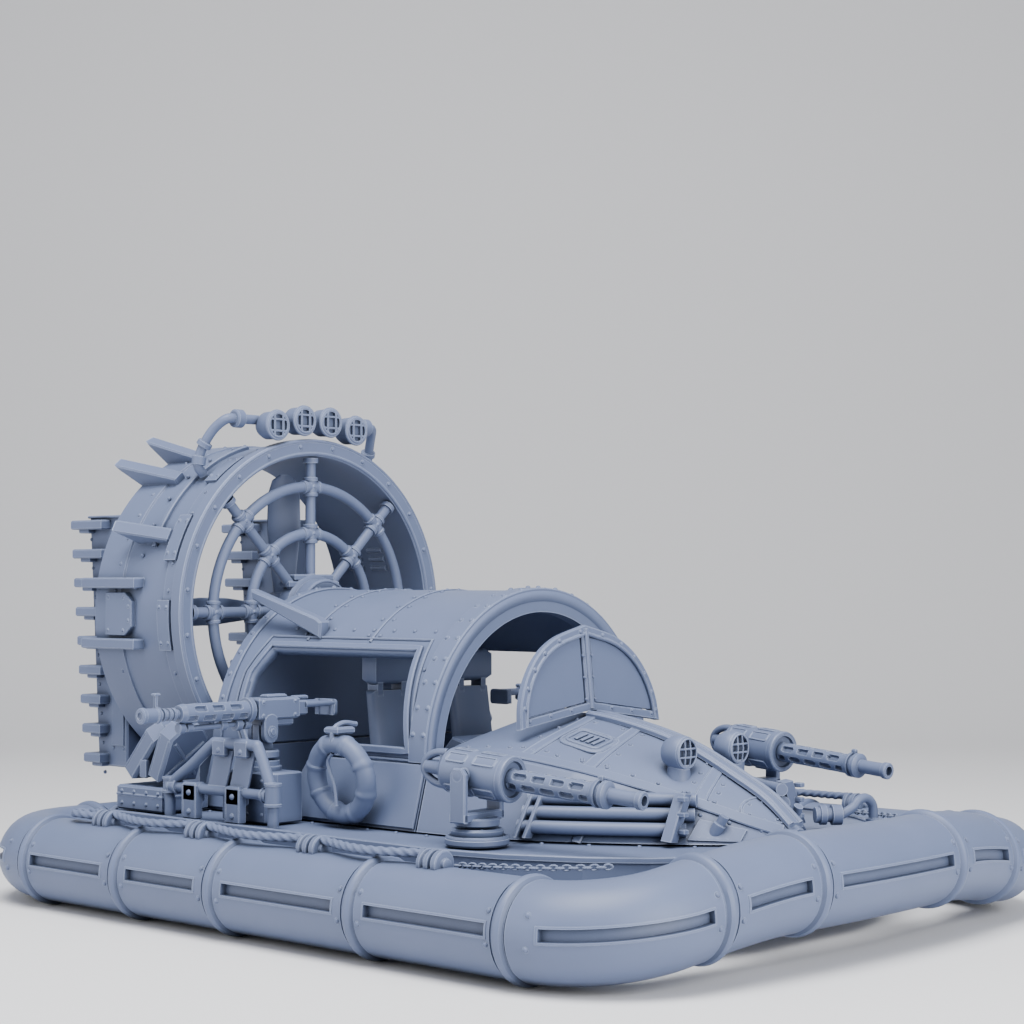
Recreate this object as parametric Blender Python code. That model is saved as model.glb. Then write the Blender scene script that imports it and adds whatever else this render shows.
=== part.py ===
"""Tabletop miniature of an armed hovercraft with a ducted fan, built as separate pieces.

Lengths are in millimetres and become metres in make_object. +X is the bow, +Y port, +Z up.
In this file x = 0 is the middle of the air skirt; ORIGIN_X moves the finished model so that the
world origin is the middle of its own outline, on the surface it stands on.
"""
import math

import bmesh
import bpy
import numpy as np
from mathutils import Matrix

MM = 0.001
GAP = 0.3

# Air skirt: a round tube in four lengths, with raised straps and a slot in each panel
TUBE_R = 6.6
STRAP_R = 7.2
STRAP_WIDTH = 2.0
TUBE_SIDES = 16
TUBE_Z = STRAP_R
SKIRT_HALF_WIDTH = 50.4
SKIRT_STERN_X = -65.3
STERN_CORNER_X = -54.0
BOW_CORNER_X = 50.3
BOW_CORNER_R = 12.7
BOW_LEAN = math.radians(8.8)
BOW_RISE = 4.0
BOW_RISE_END = 40.7
SIDE_STRAPS = (-54.0, -29.6, -7.4, 21.9, 50.3)
SLOT_HALF = 0.8
SLOT_DEPTH = 0.8
SLOT_Z = 0.65
SLOT_MARGIN = 3.2

# Deck and hull
DECK_TOP = 14.0
DECK_BOTTOM = 8.6
DECK_HALF_WIDTH = 40.5
CAB_FRONT = 6.1
CAB_REAR = -43.9
TUB_TOP = 24.0
TUB_WALL = 1.6
BARREL_Z = 24.3
BARREL_R = 25.8
BARREL_WALL = 1.7
ARCH_INNER_R = 22.2
ARCH_WIDTH = 2.4
SILL_X = (-34.0, -16.2)
SILL_Z = 20.4

# Fan duct, guard, propeller and rudders
FAN_Z = 46.3
DUCT_FRONT = -47.2
DUCT_REAR = -71.5
DUCT_R = 29.9
DUCT_BORE = 27.4
FLANGE_R = 30.4
FLANGE_WIDTH = 2.6
GUARD_X = -48.9
GUARD_RINGS = (22.0, 13.7)
GUARD_TUBE = 0.95
HUB_R = 6.6
PROP_X = -56.0
PROP_R = 24.5
RUDDER_FRONT = -72.2
RUDDER_BACK = (-80.4, -83.8)
RUDDER_Y = (12.9, 22.1)
RUDDER_Z = (18.6, 63.4)
SLATS = 9
SLAT_Z = (20.2, 61.7)
SLAT_BACK = (-82.0, -86.4)

# Guns: every one turns on its base about Z and tips about its trunnion
FRONT_GUN_PIVOT = (23.5, 33.3, 24.3)
FRONT_GUN_TOE = math.radians(6.6)
FRONT_GUN_DIP = math.radians(4.4)
SIDE_GUN_PIVOT = (-22.0, 34.0, 28.2)
SIDE_GUN_BORE_Z = 31.6

STEEL_BLUE = (0.115, 0.150, 0.255)
ORIGIN_X = 6.845


def unit(v):
    v = np.asarray(v, float)
    return v / np.linalg.norm(v)


def grid_solid(rings):
    """Close a stack of equal rings of points into a tube with flat ends."""
    count = len(rings[0])
    verts = np.concatenate([np.asarray(ring, float) for ring in rings])
    faces = [tuple(reversed(range(count)))]
    for k in range(len(rings) - 1):
        for i in range(count):
            j = (i + 1) % count
            faces.append((k * count + i, k * count + j, (k + 1) * count + j, (k + 1) * count + i))
    last = (len(rings) - 1) * count
    faces.append(tuple(range(last, last + count)))
    return verts, faces


def box(x, y, z):
    """A block between the two values of x, y and z."""
    ring = np.array([(x[0], y[0]), (x[1], y[0]), (x[1], y[1]), (x[0], y[1])])
    return grid_solid([np.column_stack([ring, np.full(4, v)]) for v in z])


def prism(outline, span, axis="z"):
    """Extrude a flat outline along an axis; its points are the other two coordinates in order."""
    column = "xyz".index(axis)
    rings = [np.insert(np.asarray(outline, float), column, v, axis=1) for v in span]
    return grid_solid(rings)


def circle(radius, sides, start=0.0, sweep=math.tau):
    """Points round a circle; a full turn leaves out the repeated last point."""
    closed = abs(sweep) >= math.tau - 1e-9
    steps = np.arange(sides) / sides if closed else np.linspace(0, 1, sides)
    angle = start + sweep * steps
    return radius * np.column_stack([np.cos(angle), np.sin(angle)])


def frames(path):
    """Side and up vectors at each point of a path, carried along it without twist."""
    path = np.asarray(path, float)
    run = np.diff(path, axis=0)
    run /= np.linalg.norm(run, axis=1)[:, None]
    tangent = np.concatenate([run[:1], run[:-1] + run[1:], run[-1:]])
    tangent /= np.linalg.norm(tangent, axis=1)[:, None]
    start = (0, 0, 1) if abs(tangent[0, 2]) < 0.9 else (1, 0, 0)
    side = [unit(np.cross(start, tangent[0]))]
    for t in tangent[1:]:
        side.append(unit(side[-1] - t * np.dot(side[-1], t)))
    side = np.array(side)
    return path, side, np.cross(tangent, side)


def tube(path, radius, sides=8):
    """A round bar along a path; radius may be one value or one for each point."""
    path, side, up = frames(path)
    radius = np.broadcast_to(radius, len(path))
    ring = circle(1.0, sides, math.pi / sides)
    rings = [p + r * (ring[:, :1] * s + ring[:, 1:] * u) for p, r, s, u in zip(path, radius, side, up)]
    return grid_solid(rings)


def turned(profile, origin, direction, sides=16):
    """A round piece: pairs of distance along the direction and radius, from the first end on."""
    direction = unit(direction)
    helper = (0, 0, 1) if abs(direction[2]) < 0.9 else (1, 0, 0)
    side = unit(np.cross(helper, direction))
    up = np.cross(direction, side)
    ring = circle(1.0, sides, math.pi / sides)
    rings = [np.asarray(origin) + a * direction + r * (ring[:, :1] * side + ring[:, 1:] * up)
             for a, r in profile]
    return grid_solid(rings)


def hoop(radius, bar, origin, axis, sides=32, bar_sides=8):
    """A round bar bent into a full circle."""
    axis = unit(axis)
    helper = (0, 0, 1) if abs(axis[2]) < 0.9 else (1, 0, 0)
    side = unit(np.cross(helper, axis))
    up = np.cross(axis, side)
    verts = []
    faces = []
    for c, s in circle(1.0, sides, math.pi / sides):
        out = c * side + s * up
        for a, b in circle(bar, bar_sides, math.pi / bar_sides):
            verts.append(np.asarray(origin) + (radius + a) * out + b * axis)
    for i in range(sides):
        for j in range(bar_sides):
            k, m = (i + 1) % sides, (j + 1) % bar_sides
            faces.append((i * bar_sides + j, k * bar_sides + j, k * bar_sides + m, i * bar_sides + m))
    return np.array(verts), faces


def moved(shape, offset=(0, 0, 0), turn=0.0, axis="Z", about=(0, 0, 0)):
    """Turn a shape about a point, then shift it."""
    verts, faces = shape
    spin = np.array(Matrix.Rotation(turn, 3, axis))
    return (verts - about) @ spin.T + about + offset, faces


def mirrored(shape):
    """The same shape on the other side of the centre plane."""
    verts, faces = shape
    return verts * (1, -1, 1), [tuple(reversed(face)) for face in faces]


def raw_mesh(name, shape):
    """A Blender mesh in metres with its faces pointing outwards."""
    verts, faces = shape
    mesh = bpy.data.meshes.new(name)
    mesh.from_pydata([tuple(v) for v in (verts + (ORIGIN_X, 0, 0)) * MM], [], faces)
    work = bmesh.new()
    work.from_mesh(mesh)
    bmesh.ops.recalc_face_normals(work, faces=work.faces)
    work.to_mesh(mesh)
    work.free()
    return mesh


def combine(target, shape, operation):
    """Union or cut one shape on the target object and keep the result in its mesh."""
    tool = bpy.data.objects.new("tool", raw_mesh("tool", shape))
    bpy.context.collection.objects.link(tool)
    modifier = target.modifiers.new("combine", "BOOLEAN")
    modifier.operation = operation
    modifier.solver = "EXACT"
    modifier.object = tool
    graph = bpy.context.evaluated_depsgraph_get()
    result = bpy.data.meshes.new_from_object(target.evaluated_get(graph))
    target.modifiers.clear()
    target.data = result
    bpy.data.objects.remove(tool)


def make_object(name, add, cut=(), colour=STEEL_BLUE, smooth=35.0):
    """One named solid: the first shape, with the others joined on and the cuts taken out."""
    item = bpy.data.objects.new(name, raw_mesh(name, add[0]))
    bpy.context.collection.objects.link(item)
    for shape in add[1:]:
        combine(item, shape, "UNION")
    for shape in cut:
        combine(item, shape, "DIFFERENCE")
    item.data.name = name
    item.data.shade_smooth()
    item.data.set_sharp_from_angle(angle=math.radians(smooth))
    material = bpy.data.materials.new(name)
    material.use_nodes = True
    shader = material.node_tree.nodes["Principled BSDF"]
    shader.inputs["Base Color"].default_value = (*colour, 1.0)
    shader.inputs["Roughness"].default_value = 0.6
    item.data.materials.clear()
    item.data.materials.append(material)
    return item


def both_sides(name, add, cut=(), **options):
    """The starboard piece as given and its mirror image to port."""
    make_object(name + "_starboard", add, cut, **options)
    make_object(name + "_port", [mirrored(s) for s in add], [mirrored(s) for s in cut], **options)


def bow_path(count=9):
    """Half of the bow: the corner arc, then a slightly bowed front to the centre; starboard side."""
    turn = math.pi / 2 - BOW_LEAN
    corner = [(BOW_CORNER_X + BOW_CORNER_R * math.sin(a),
               -SKIRT_HALF_WIDTH + BOW_CORNER_R * (1 - math.cos(a))) for a in np.linspace(0, turn, count)]
    x, y = corner[-1]
    front_r = -y / math.sin(BOW_LEAN)
    front = [(x + front_r * (math.cos(a) - math.cos(BOW_LEAN)), -front_r * math.sin(a))
             for a in np.linspace(BOW_LEAN, 0, count)[1:]]
    return np.array(corner + front)


def along(path):
    """Distance from the start of a path to each of its points."""
    return np.concatenate([[0], np.cumsum(np.linalg.norm(np.diff(path, axis=0), axis=1))])


def section(radius):
    """The tube's round section: offsets outwards and upwards, flat on its underside."""
    return circle(radius / math.cos(math.pi / TUBE_SIDES), TUBE_SIDES, math.pi / TUBE_SIDES)


def sweep(path, out, outline):
    """Carry an outline of outward and upward offsets along a path."""
    rings = []
    for k, (p, o) in enumerate(zip(path, out)):
        shape = outline[k] if isinstance(outline, list) else outline
        rings.append(p + shape[:, :1] * o + shape[:, 1:] * (0, 0, 1))
    return grid_solid(rings)


def outward(path):
    """Level vectors that point out of the skirt, for a path that runs anticlockwise from above."""
    tangent = np.gradient(path, axis=0)
    out = np.column_stack([tangent[:, 1], -tangent[:, 0], np.zeros(len(path))])
    return out / np.linalg.norm(out, axis=1)[:, None]


def skirt_piece(path, straps, panels):
    """A length of skirt tube with straps at the given distances and a slot along each panel."""
    distance = along(path[:, :2])
    half = STRAP_WIDTH / 2
    stations = [(d, TUBE_R) for d in distance]
    for s in straps:
        stations = [(d, r) for d, r in stations if abs(d - s) > half + 0.05]
        stations += [(s - half, TUBE_R), (s - half, STRAP_R), (s + half, STRAP_R), (s + half, TUBE_R)]
    end = distance[-1]
    stations = [(d, r) for d, r in stations if -1e-6 <= d <= end + 1e-6]
    stations.sort(key=lambda pair: round(pair[0], 6))
    where = np.array([d for d, r in stations])
    place = np.column_stack([np.interp(where, distance, path[:, k]) for k in range(3)])
    base_out = outward(path)
    for end in (0, -1):
        base_out[end] = (0, np.sign(path[end, 1]), 0)
    out = np.column_stack([np.interp(where, distance, base_out[:, k]) for k in range(3)])
    out /= np.linalg.norm(out, axis=1)[:, None]
    body = sweep(place, out, [section(r) for d, r in stations])
    slot = np.array([(TUBE_R - SLOT_DEPTH, SLOT_Z - SLOT_HALF), (TUBE_R + 2, SLOT_Z - SLOT_HALF),
                     (TUBE_R + 2, SLOT_Z + SLOT_HALF), (TUBE_R - SLOT_DEPTH, SLOT_Z + SLOT_HALF)])
    cuts = []
    for a, b in panels:
        d = np.linspace(a + SLOT_MARGIN, b - SLOT_MARGIN, 2 if len(path) == 2 else 6)
        p = np.column_stack([np.interp(d, distance, path[:, k]) for k in range(3)])
        o = np.column_stack([np.interp(d, distance, base_out[:, k]) for k in range(3)])
        cuts.append(sweep(p, o / np.linalg.norm(o, axis=1)[:, None], slot))
    return [body], cuts


def make_skirt():
    """Straight sides, a raised bow and a square stern, parted at the corner straps."""
    side = np.array([(x, -SKIRT_HALF_WIDTH, TUBE_Z) for x in (STERN_CORNER_X, BOW_CORNER_X)])
    straps = [x - STERN_CORNER_X for x in SIDE_STRAPS]
    straps[0] += STRAP_WIDTH / 2
    straps[-1] -= STRAP_WIDTH / 2
    marks = [x - STERN_CORNER_X for x in SIDE_STRAPS]
    add, cut = skirt_piece(side, straps, list(zip(marks, marks[1:])))
    both_sides("skirt", add, cut)

    half = bow_path()
    full = np.concatenate([half, (half[::-1] * (1, -1))[1:]])
    distance = along(full)
    from_end = np.minimum(distance, distance[-1] - distance)
    t = np.clip(from_end / BOW_RISE_END, 0, 1)
    z = TUBE_Z + BOW_RISE * (1 - np.cos(math.pi * t)) / 2
    path = np.column_stack([full, z])
    path[0, 0] += GAP
    path[-1, 0] += GAP
    distance = along(path[:, :2])
    straps = [distance[np.argmin(abs(path[:, 1] - y))] for y in (-34.8, -16.9, 16.9, 34.8)]
    marks = [0] + straps + [distance[-1]]
    add, cut = skirt_piece(path, straps, list(zip(marks, marks[1:])))
    make_object("skirt_bow", add, cut)

    corner = STERN_CORNER_X - SKIRT_STERN_X
    turn = np.linspace(0, math.pi / 2, 6)
    port = [(STERN_CORNER_X - corner * math.sin(a), SKIRT_HALF_WIDTH - corner * (1 - math.cos(a))) for a in turn]
    port = np.array(port)
    full = np.concatenate([port, (port[::-1] * (1, -1))])
    path = np.column_stack([full, np.full(len(full), TUBE_Z)])
    path[0, 0] -= GAP
    path[-1, 0] -= GAP
    distance = along(path[:, :2])
    middle = distance[-1] / 2
    straps = [middle + y for y in (-34.8, -12.0, 12.0, 34.8)]
    marks = [0] + straps + [distance[-1]]
    add, cut = skirt_piece(path, straps, list(zip(marks, marks[1:])))
    make_object("skirt_stern", add, cut)


# Half of the deck's outline, from stern to bow: x and half width
DECK_OUTLINE = ((-56.5, 36.0), (-52.0, 40.5), (22.0, 40.5), (33.0, 38.2), (43.2, 33.4), (50.5, 27.8),
                (55.4, 21.5), (57.2, 12.0))


def make_deck():
    right = [(x, -y) for x, y in DECK_OUTLINE]
    left = [(x, y) for x, y in reversed(DECK_OUTLINE)]
    make_object("deck", [prism(right + left, (DECK_BOTTOM, DECK_TOP))])


# Hull sections from the cab to the bow: x, half width at the deck, half width and height of the
# chine, height of the spine
HULL_SECTIONS = ((6.4, 28.4, 25.4, 25.0, 31.0), (16.0, 27.5, 23.0, 25.5, 31.0), (26.0, 24.5, 18.5, 24.0, 29.6),
                 (36.0, 19.5, 13.5, 21.5, 27.0), (45.0, 13.5, 9.0, 18.8, 23.0), (51.0, 8.0, 5.5, 16.8, 19.8),
                 (55.4, 2.4, 1.6, 15.3, 16.2))


def make_hull():
    floor = DECK_TOP + GAP
    rings = []
    for x, base, chine, chine_z, spine_z in HULL_SECTIONS:
        rings.append([(x, -base, floor), (x, base, floor), (x, chine, chine_z), (x, 0, spine_z),
                      (x, -chine, chine_z)])
    make_object("bonnet", [grid_solid(rings)])

    base, top = HULL_SECTIONS[0][1], BARREL_R
    outside = [(-base, floor), (base, floor), (top, TUB_TOP), (-top, TUB_TOP)]
    inside_top = top - TUB_WALL
    inside_base = base - TUB_WALL
    inside = [(-inside_base, floor + 2.0), (inside_base, floor + 2.0), (inside_top, TUB_TOP + 1),
              (-inside_top, TUB_TOP + 1)]
    hollow = (CAB_REAR + TUB_WALL, CAB_FRONT - TUB_WALL)
    notch = box(SILL_X, (-30.0, 30.0), (SILL_Z, TUB_TOP + 1))
    make_object("cab_tub", [prism(outside, (CAB_REAR, CAB_FRONT), "x")], [prism(inside, hollow, "x"), notch])


# Side window outline in x and z, cut straight through the barrel
WINDOW = ((-34.0, 23.0), (-16.2, 23.0), (-16.2, 26.4), (1.6, 26.4), (-2.0, 40.5), (-35.6, 40.5), (-37.6, 36.6),
          (-37.0, 31.0))


def arch(radius, count=33):
    """Half circle of the roof, from starboard over the top to port, in y and z."""
    return circle(radius, count, math.pi, -math.pi) + (0, BARREL_Z)


def shell(outer, inner, span, count=33):
    """A half-barrel wall between two radii."""
    outline = np.concatenate([arch(outer, count), arch(inner, count)[::-1]])
    return prism(outline, span, "x")


def make_canopy():
    roof = shell(BARREL_R, BARREL_R - BARREL_WALL, (CAB_REAR, CAB_FRONT))
    front = shell(BARREL_R - 0.4, ARCH_INNER_R, (CAB_FRONT - ARCH_WIDTH, CAB_FRONT - 0.01))
    fins = []
    for side in (-1, 1):
        outline = [(-42.5, 49.0), (-25.2, 42.6), (-26.0, 45.0), (-42.7, 50.2)]
        fins.append(prism(outline, (side * 18.0 - 0.9, side * 18.0 + 0.9), "y"))
    window = prism(WINDOW, (-30, 30), "y")
    make_object("canopy", [roof, front] + fins, [window])
    back = arch(BARREL_R - BARREL_WALL - GAP, 25)
    make_object("rear_bulkhead", [prism(back, (CAB_REAR + 0.2, CAB_REAR + 1.8), "x")])


# Half of the windscreen's pointed arch, from foot to tip: half width and height
WINDSCREEN = ((16.6, 0.0), (16.1, 3.8), (14.4, 7.7), (11.4, 11.2), (6.9, 13.8), (0.0, 15.6))
WINDSCREEN_FOOT = (16.2, 29.2)
WINDSCREEN_RISE = 2.2
WINDSCREEN_LEAN = math.radians(-5.9)


def arch_outline(inset, foot, centre=0.0):
    """The windscreen arch pulled in by an inset; centre keeps clear of the middle rib."""
    points = np.array(WINDSCREEN)
    direction = np.gradient(points, axis=0)
    normal = np.column_stack([-direction[:, 1], direction[:, 0]])
    normal /= np.linalg.norm(normal, axis=1)[:, None]
    inner = points + normal * inset
    inner[0] = (points[0, 0] - inset, foot)
    inner[-1] = (centre, np.interp(centre, [0, inner[-2, 0]], [points[-1, 1] - inset * 1.1, inner[-2, 1]]))
    return inner


def make_windscreen():
    x, z = WINDSCREEN_FOOT
    half = np.array(WINDSCREEN)
    outer = np.concatenate([half, (half[::-1] * (-1, 1))[1:], [(0.0, WINDSCREEN_RISE)]])
    frame = prism(outer + (0, z), (x - 0.6, x + 0.6), "x")
    inner = arch_outline(1.7, 1.6, 0.7)
    pane = np.concatenate([inner, [(0.7, WINDSCREEN_RISE + 1.3)]])
    holes = [prism(pane * (side, 1) + (0, z), (x - 3, x + 3), "x") for side in (-1, 1)]
    lean = dict(turn=WINDSCREEN_LEAN, axis="Y", about=(x, 0, z))
    make_object("windscreen_frame", [moved(frame, **lean)], [moved(hole, **lean) for hole in holes])
    fit = arch_outline(1.7 + GAP, 1.6 + GAP, 0.7 + GAP)
    glass = np.concatenate([fit, [(0.7 + GAP, WINDSCREEN_RISE + 1.3 + GAP)]])
    both_sides("windscreen_pane", [moved(prism(glass * (-1, 1) + (0, z), (x - 0.3, x + 0.3), "x"), **lean)])


def make_cab_fittings():
    """Two seats with headrests and the instrument panel."""
    floor = DECK_TOP + GAP + 2.0 + GAP
    seat = [box((-18.0, -7.0), (-14.5, -4.5), (floor, floor + 4.5)),
            prism([(-18.6, floor), (-15.6, floor), (-18.2, 34.0), (-20.6, 34.0)], (-14.0, -5.0), "y"),
            box((-20.6, -18.2), (-13.2, -5.8), (33.0, 35.0)),
            box((-21.0, -17.6), (-13.8, -5.2), (34.6, 40.2))]
    both_sides("seat", seat)
    make_object("instrument_panel", [prism([(-1.0, floor), (4.0, floor), (4.0, 27.0), (1.5, 27.6), (-1.0, 25.0)],
                                           (-16.0, 16.0), "y")])


def hull_side(x, z):
    """Half width of the hull's side at a length and height."""
    table = np.array(HULL_SECTIONS)
    base = np.interp(x, table[:, 0], table[:, 1])
    chine = np.interp(x, table[:, 0], table[:, 2])
    chine_z = np.interp(x, table[:, 0], table[:, 3])
    floor = DECK_TOP + GAP
    return base + (chine - base) * np.clip((z - floor) / (chine_z - floor), 0, 1)


def hull_top(x, y):
    """Height of the bonnet's surface at a length and half width."""
    table = np.array(HULL_SECTIONS)
    chine = np.interp(x, table[:, 0], table[:, 2])
    chine_z = np.interp(x, table[:, 0], table[:, 3])
    spine = np.interp(x, table[:, 0], table[:, 4])
    return spine + (chine_z - spine) * np.abs(y) / chine


def make_bonnet_fittings():
    x, y = 38.6, -6.4
    z = 26.5
    ball = turned([(-2.4, 0.8), (-1.8, 1.9), (-0.6, 2.6), (0.8, 2.6), (1.7, 2.3), (1.9, 1.9)], (x, y, z), (1, 0, 0), 12)
    rim = circle(1.7, 12) + (x, y)
    foot = grid_solid([[(a, b, hull_top(a, b) + 2 * GAP) for a, b in rim], [(a, b, z - 1.0) for a, b in rim]])
    both_sides("headlamp", [ball, foot])

    stations = np.linspace(24.5, 45.0, 8)
    pipes = []
    for height in (16.2, 18.2, 20.2):
        path = [(s, -hull_side(s, height) - 1.9, height) for s in stations]
        pipes.append(tube(path, 0.95, 8))
    clamps = []
    for s in (25.6, 43.6):
        edge = -hull_side(s - 0.6, 15.0)
        slope = -hull_side(s - 0.6, 21.4)
        outline = [(edge - GAP - 0.25, 15.0), (edge - 3.4, 15.0), (slope - 3.4, 21.4), (slope - GAP - 0.25, 21.4)]
        clamps.append(prism(outline, (s - 0.6, s + 0.6), "x"))
    both_sides("side_pipes", clamps[:1] + pipes + clamps[1:])


# Fins on the duct's rear: angle above the horizontal, front and rear of the root, x of the tip
FINS = ((64.0, -63.5, -71.2, -75.5), (50.5, -61.5, -71.2, -75.8), (25.5, -53.7, -62.5, -64.5))
LEDGE_Z = (40.0, 50.4)


def make_duct():
    rings = [(DUCT_REAR, DUCT_BORE), (DUCT_REAR, DUCT_R), (DUCT_FRONT - FLANGE_WIDTH, DUCT_R),
             (DUCT_FRONT - FLANGE_WIDTH, FLANGE_R), (DUCT_FRONT, FLANGE_R), (DUCT_FRONT, DUCT_BORE)]
    sides = 48
    verts = []
    faces = []
    for c, s in circle(1.0, sides):
        verts += [(x, r * c, FAN_Z + r * s) for x, r in rings]
    count = len(rings)
    for i in range(sides):
        for j in range(count):
            k, m = (i + 1) % sides, (j + 1) % count
            faces.append((i * count + j, k * count + j, k * count + m, i * count + m))
    wall = np.array(verts), faces
    extras = []
    for side in (-1, 1):
        for angle, front, rear, tip in FINS:
            a = math.radians(angle)
            out = np.array([0, side * math.cos(a), math.sin(a)])
            across = np.array([0, -side * math.sin(a), math.cos(a)]) * 0.6
            edge = [(rear, -0.8), (front, -0.8), (front, 0.5), (tip, 4.6), (tip + 0.8, 3.6)]
            low = [np.array((x, 0, FAN_Z)) + (DUCT_R + r) * out - across for x, r in edge]
            high = [np.array((x, 0, FAN_Z)) + (DUCT_R + r) * out + across for x, r in edge]
            extras.append(grid_solid([low, high]))
        for z in LEDGE_Z:
            edge = math.sqrt(DUCT_R ** 2 - (z - FAN_Z) ** 2)
            outline = [(-71.0, side * (edge - 0.9)), (-58.5, side * (edge - 0.9)), (-58.5, side * 31.4),
                       (-73.5, side * 31.4), (-73.5, side * 29.0)]
            extras.append(prism(outline, (z, z + 1.8)))
    foot = [(-24.0, DECK_TOP + GAP), (24.0, DECK_TOP + GAP), (21.0, 27.6), (-21.0, 27.6)]
    base = prism(foot, (-57.2, -49.6), "x")
    bore = turned([(-80.0, DUCT_BORE), (-40.0, DUCT_BORE)], (0, 0, FAN_Z), (1, 0, 0), 48)
    make_object("duct", [wall] + extras + [base], [bore])


def make_guard():
    centre = np.array((GUARD_X, 0, FAN_Z))
    add = [turned([(-1.6, HUB_R), (1.2, HUB_R), (2.2, HUB_R - 0.9), (4.4, HUB_R - 0.9)], centre, (1, 0, 0), 24)]
    for radius in GUARD_RINGS:
        add.append(hoop(radius, GUARD_TUBE, centre, (1, 0, 0), 24, 6))
    for k in range(8):
        a = k * math.pi / 4
        out = np.array((0, math.cos(a), math.sin(a)))
        add.append(turned([(HUB_R - 2.0, 0.9), (DUCT_BORE - GAP, 0.9)], centre, out, 6))
    make_object("duct_guard", add)


def make_propeller():
    centre = np.array((PROP_X, 0, FAN_Z))
    add = [turned([(-4.2, 1.6), (-3.2, 3.2), (2.6, 3.6), (4.6, 2.4)], centre, (1, 0, 0), 16)]
    for k in range(4):
        rings = []
        for r, chord, pitch in ((1.5, 3.4, 62), (6.0, 4.6, 52), (14.0, 6.2, 38), (PROP_R - 1.2, 5.2, 28), (PROP_R, 3.0, 26)):
            a = math.radians(pitch)
            half = np.array((math.sin(a), math.cos(a), 0)) * chord / 2
            thick = np.array((math.cos(a), -math.sin(a), 0)) * 0.55
            rings.append([np.array((0, 0, r)) + s * half + t * thick
                          for s, t in ((-1, 0), (-0.3, -1), (0.7, -1), (1, 0), (0.7, 1), (-0.3, 1))])
        blade = grid_solid(rings)
        add.append(moved(blade, centre, k * math.pi / 2, "X"))
    make_object("propeller", add)


def make_rudders():
    """Fixed vertical fairings behind the duct with a stack of slats round the trailing edge."""
    low, high = RUDDER_Z
    body = [(RUDDER_FRONT, low), (RUDDER_FRONT, high), (RUDDER_BACK[1], high), (RUDDER_BACK[0], low)]
    add = [prism(body, (-RUDDER_Y[1], -RUDDER_Y[0]), "y")]
    for z, back in zip(np.linspace(*SLAT_Z, SLATS), np.linspace(*SLAT_BACK, SLATS)):
        add.append(box((back, -77.2), (-24.4, -10.6), (z - 0.85, z + 0.85)))
    both_sides("rudder", add)


# Right half of the lamp bar, from its foot on the duct to the straight top
LAMP_BAR = ((-55.5, -18.85, 70.02), (-55.5, -20.2, 71.7), (-54.6, -19.6, 75.2), (-52.2, -18.2, 78.6),
            (-51.0, -16.4, 79.7))
LAMPS = ((-9.3, 78.7), (-3.1, 79.8), (3.1, 79.8), (9.3, 78.7))


def make_lamp_bar():
    half = np.array(LAMP_BAR)
    add = [tube(np.concatenate([half, half[::-1] * (1, -1, 1)]), 0.95, 8)]
    x, y, z = half[-1]
    for side in (-1, 1):
        add.append(turned([(-0.8, 1.6), (0.8, 1.6)], (x, side * (y + 1.4), z), (0, 1, 0), 10))
    for y, z in LAMPS:
        add.append(turned([(-1.8, 1.6), (-0.6, 2.4), (2.4, 2.55), (3.1, 2.3)], (x + 1.6, y, z), (1, 0, 0), 12))
    make_object("lamp_bar", add)


def make_life_rings():
    x, y, z = -6.8, -31.4, 21.5
    ring = hoop(5.5, 1.6, (x, y, z), (0, 1, 0.15), 28, 8)
    hook = box((x - 0.9, x + 0.9), (y - 2.2, y + 3.2), (z + 4.4, z + 8.4))
    both_sides("life_ring", [ring, hook])


def make_gun_frames():
    y = -39.0
    foot = DECK_TOP + GAP
    hoop_path = [(-38.6, y, foot), (-38.6, y, 19.0), (-27.5, y, 26.4), (-17.5, y, 26.4), (-13.7, y, 19.0), (-13.7, y, foot)]
    add = [tube(hoop_path, 0.9, 8), tube([(-38.2, y, 19.0), (-14.1, y, 19.0)], 0.8, 8)]
    for x in (-32.5, -22.0):
        add.append(box((x - 1.8, x + 1.8), (y - 1.2, y + 0.2), (foot, 19.6)))
    both_sides("gun_frame", add)


def make_side_guns():
    px, py, pz = SIDE_GUN_PIVOT
    foot = DECK_TOP + GAP
    base = [box((px - 6.0, px + 5.6), (-37.2, -30.6), (foot, 22.2)), turned([(0, 3.0), (2.0, 3.0)], (px, -py, 21.8), (0, 0, 1), 16)]
    both_sides("side_gun_base", base)
    yoke = [turned([(0, 2.6), (1.2, 2.6)], (px, -py, 24.1), (0, 0, 1), 16),
            box((px - 0.7, px + 0.7), (-py - 1.5, -py + 1.5), (25.0, 29.6))]
    both_sides("side_gun_yoke", yoke)
    muzzle = -58.0
    z = SIDE_GUN_BORE_Z
    fork = [box((px - 2.2, px - 1.0), (-py - 1.4, -py + 1.4), (27.2, 31.0)),
            box((px + 1.0, px + 2.2), (-py - 1.4, -py + 1.4), (27.2, 31.0))]
    gun = [box((px - 2.2, px + 2.2), (-36.6, -26.0), (z - 1.2, z + 1.9))] + fork
    gun.append(turned([(0, 1.2), (3.4, 1.2), (3.6, 0.8), (6.4, 0.8), (6.8, 1.5), (21.8, 1.5)], (px, muzzle, z), (0, 1, 0), 10))
    gun.append(tube([(px, -50.5, z - 2.2), (px, -36.4, z - 1.0)], 0.55, 6))
    for side in (-1, 1):
        gun.append(box((px + side * 1.6 - 0.4, px + side * 1.6 + 0.4), (-26.2, -20.4), (z - 0.2, z + 0.8)))
    gun.append(box((px - 2.4, px + 2.4), (-21.2, -20.0), (z - 1.6, z + 1.4)))
    both_sides("side_gun", gun)


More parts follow.
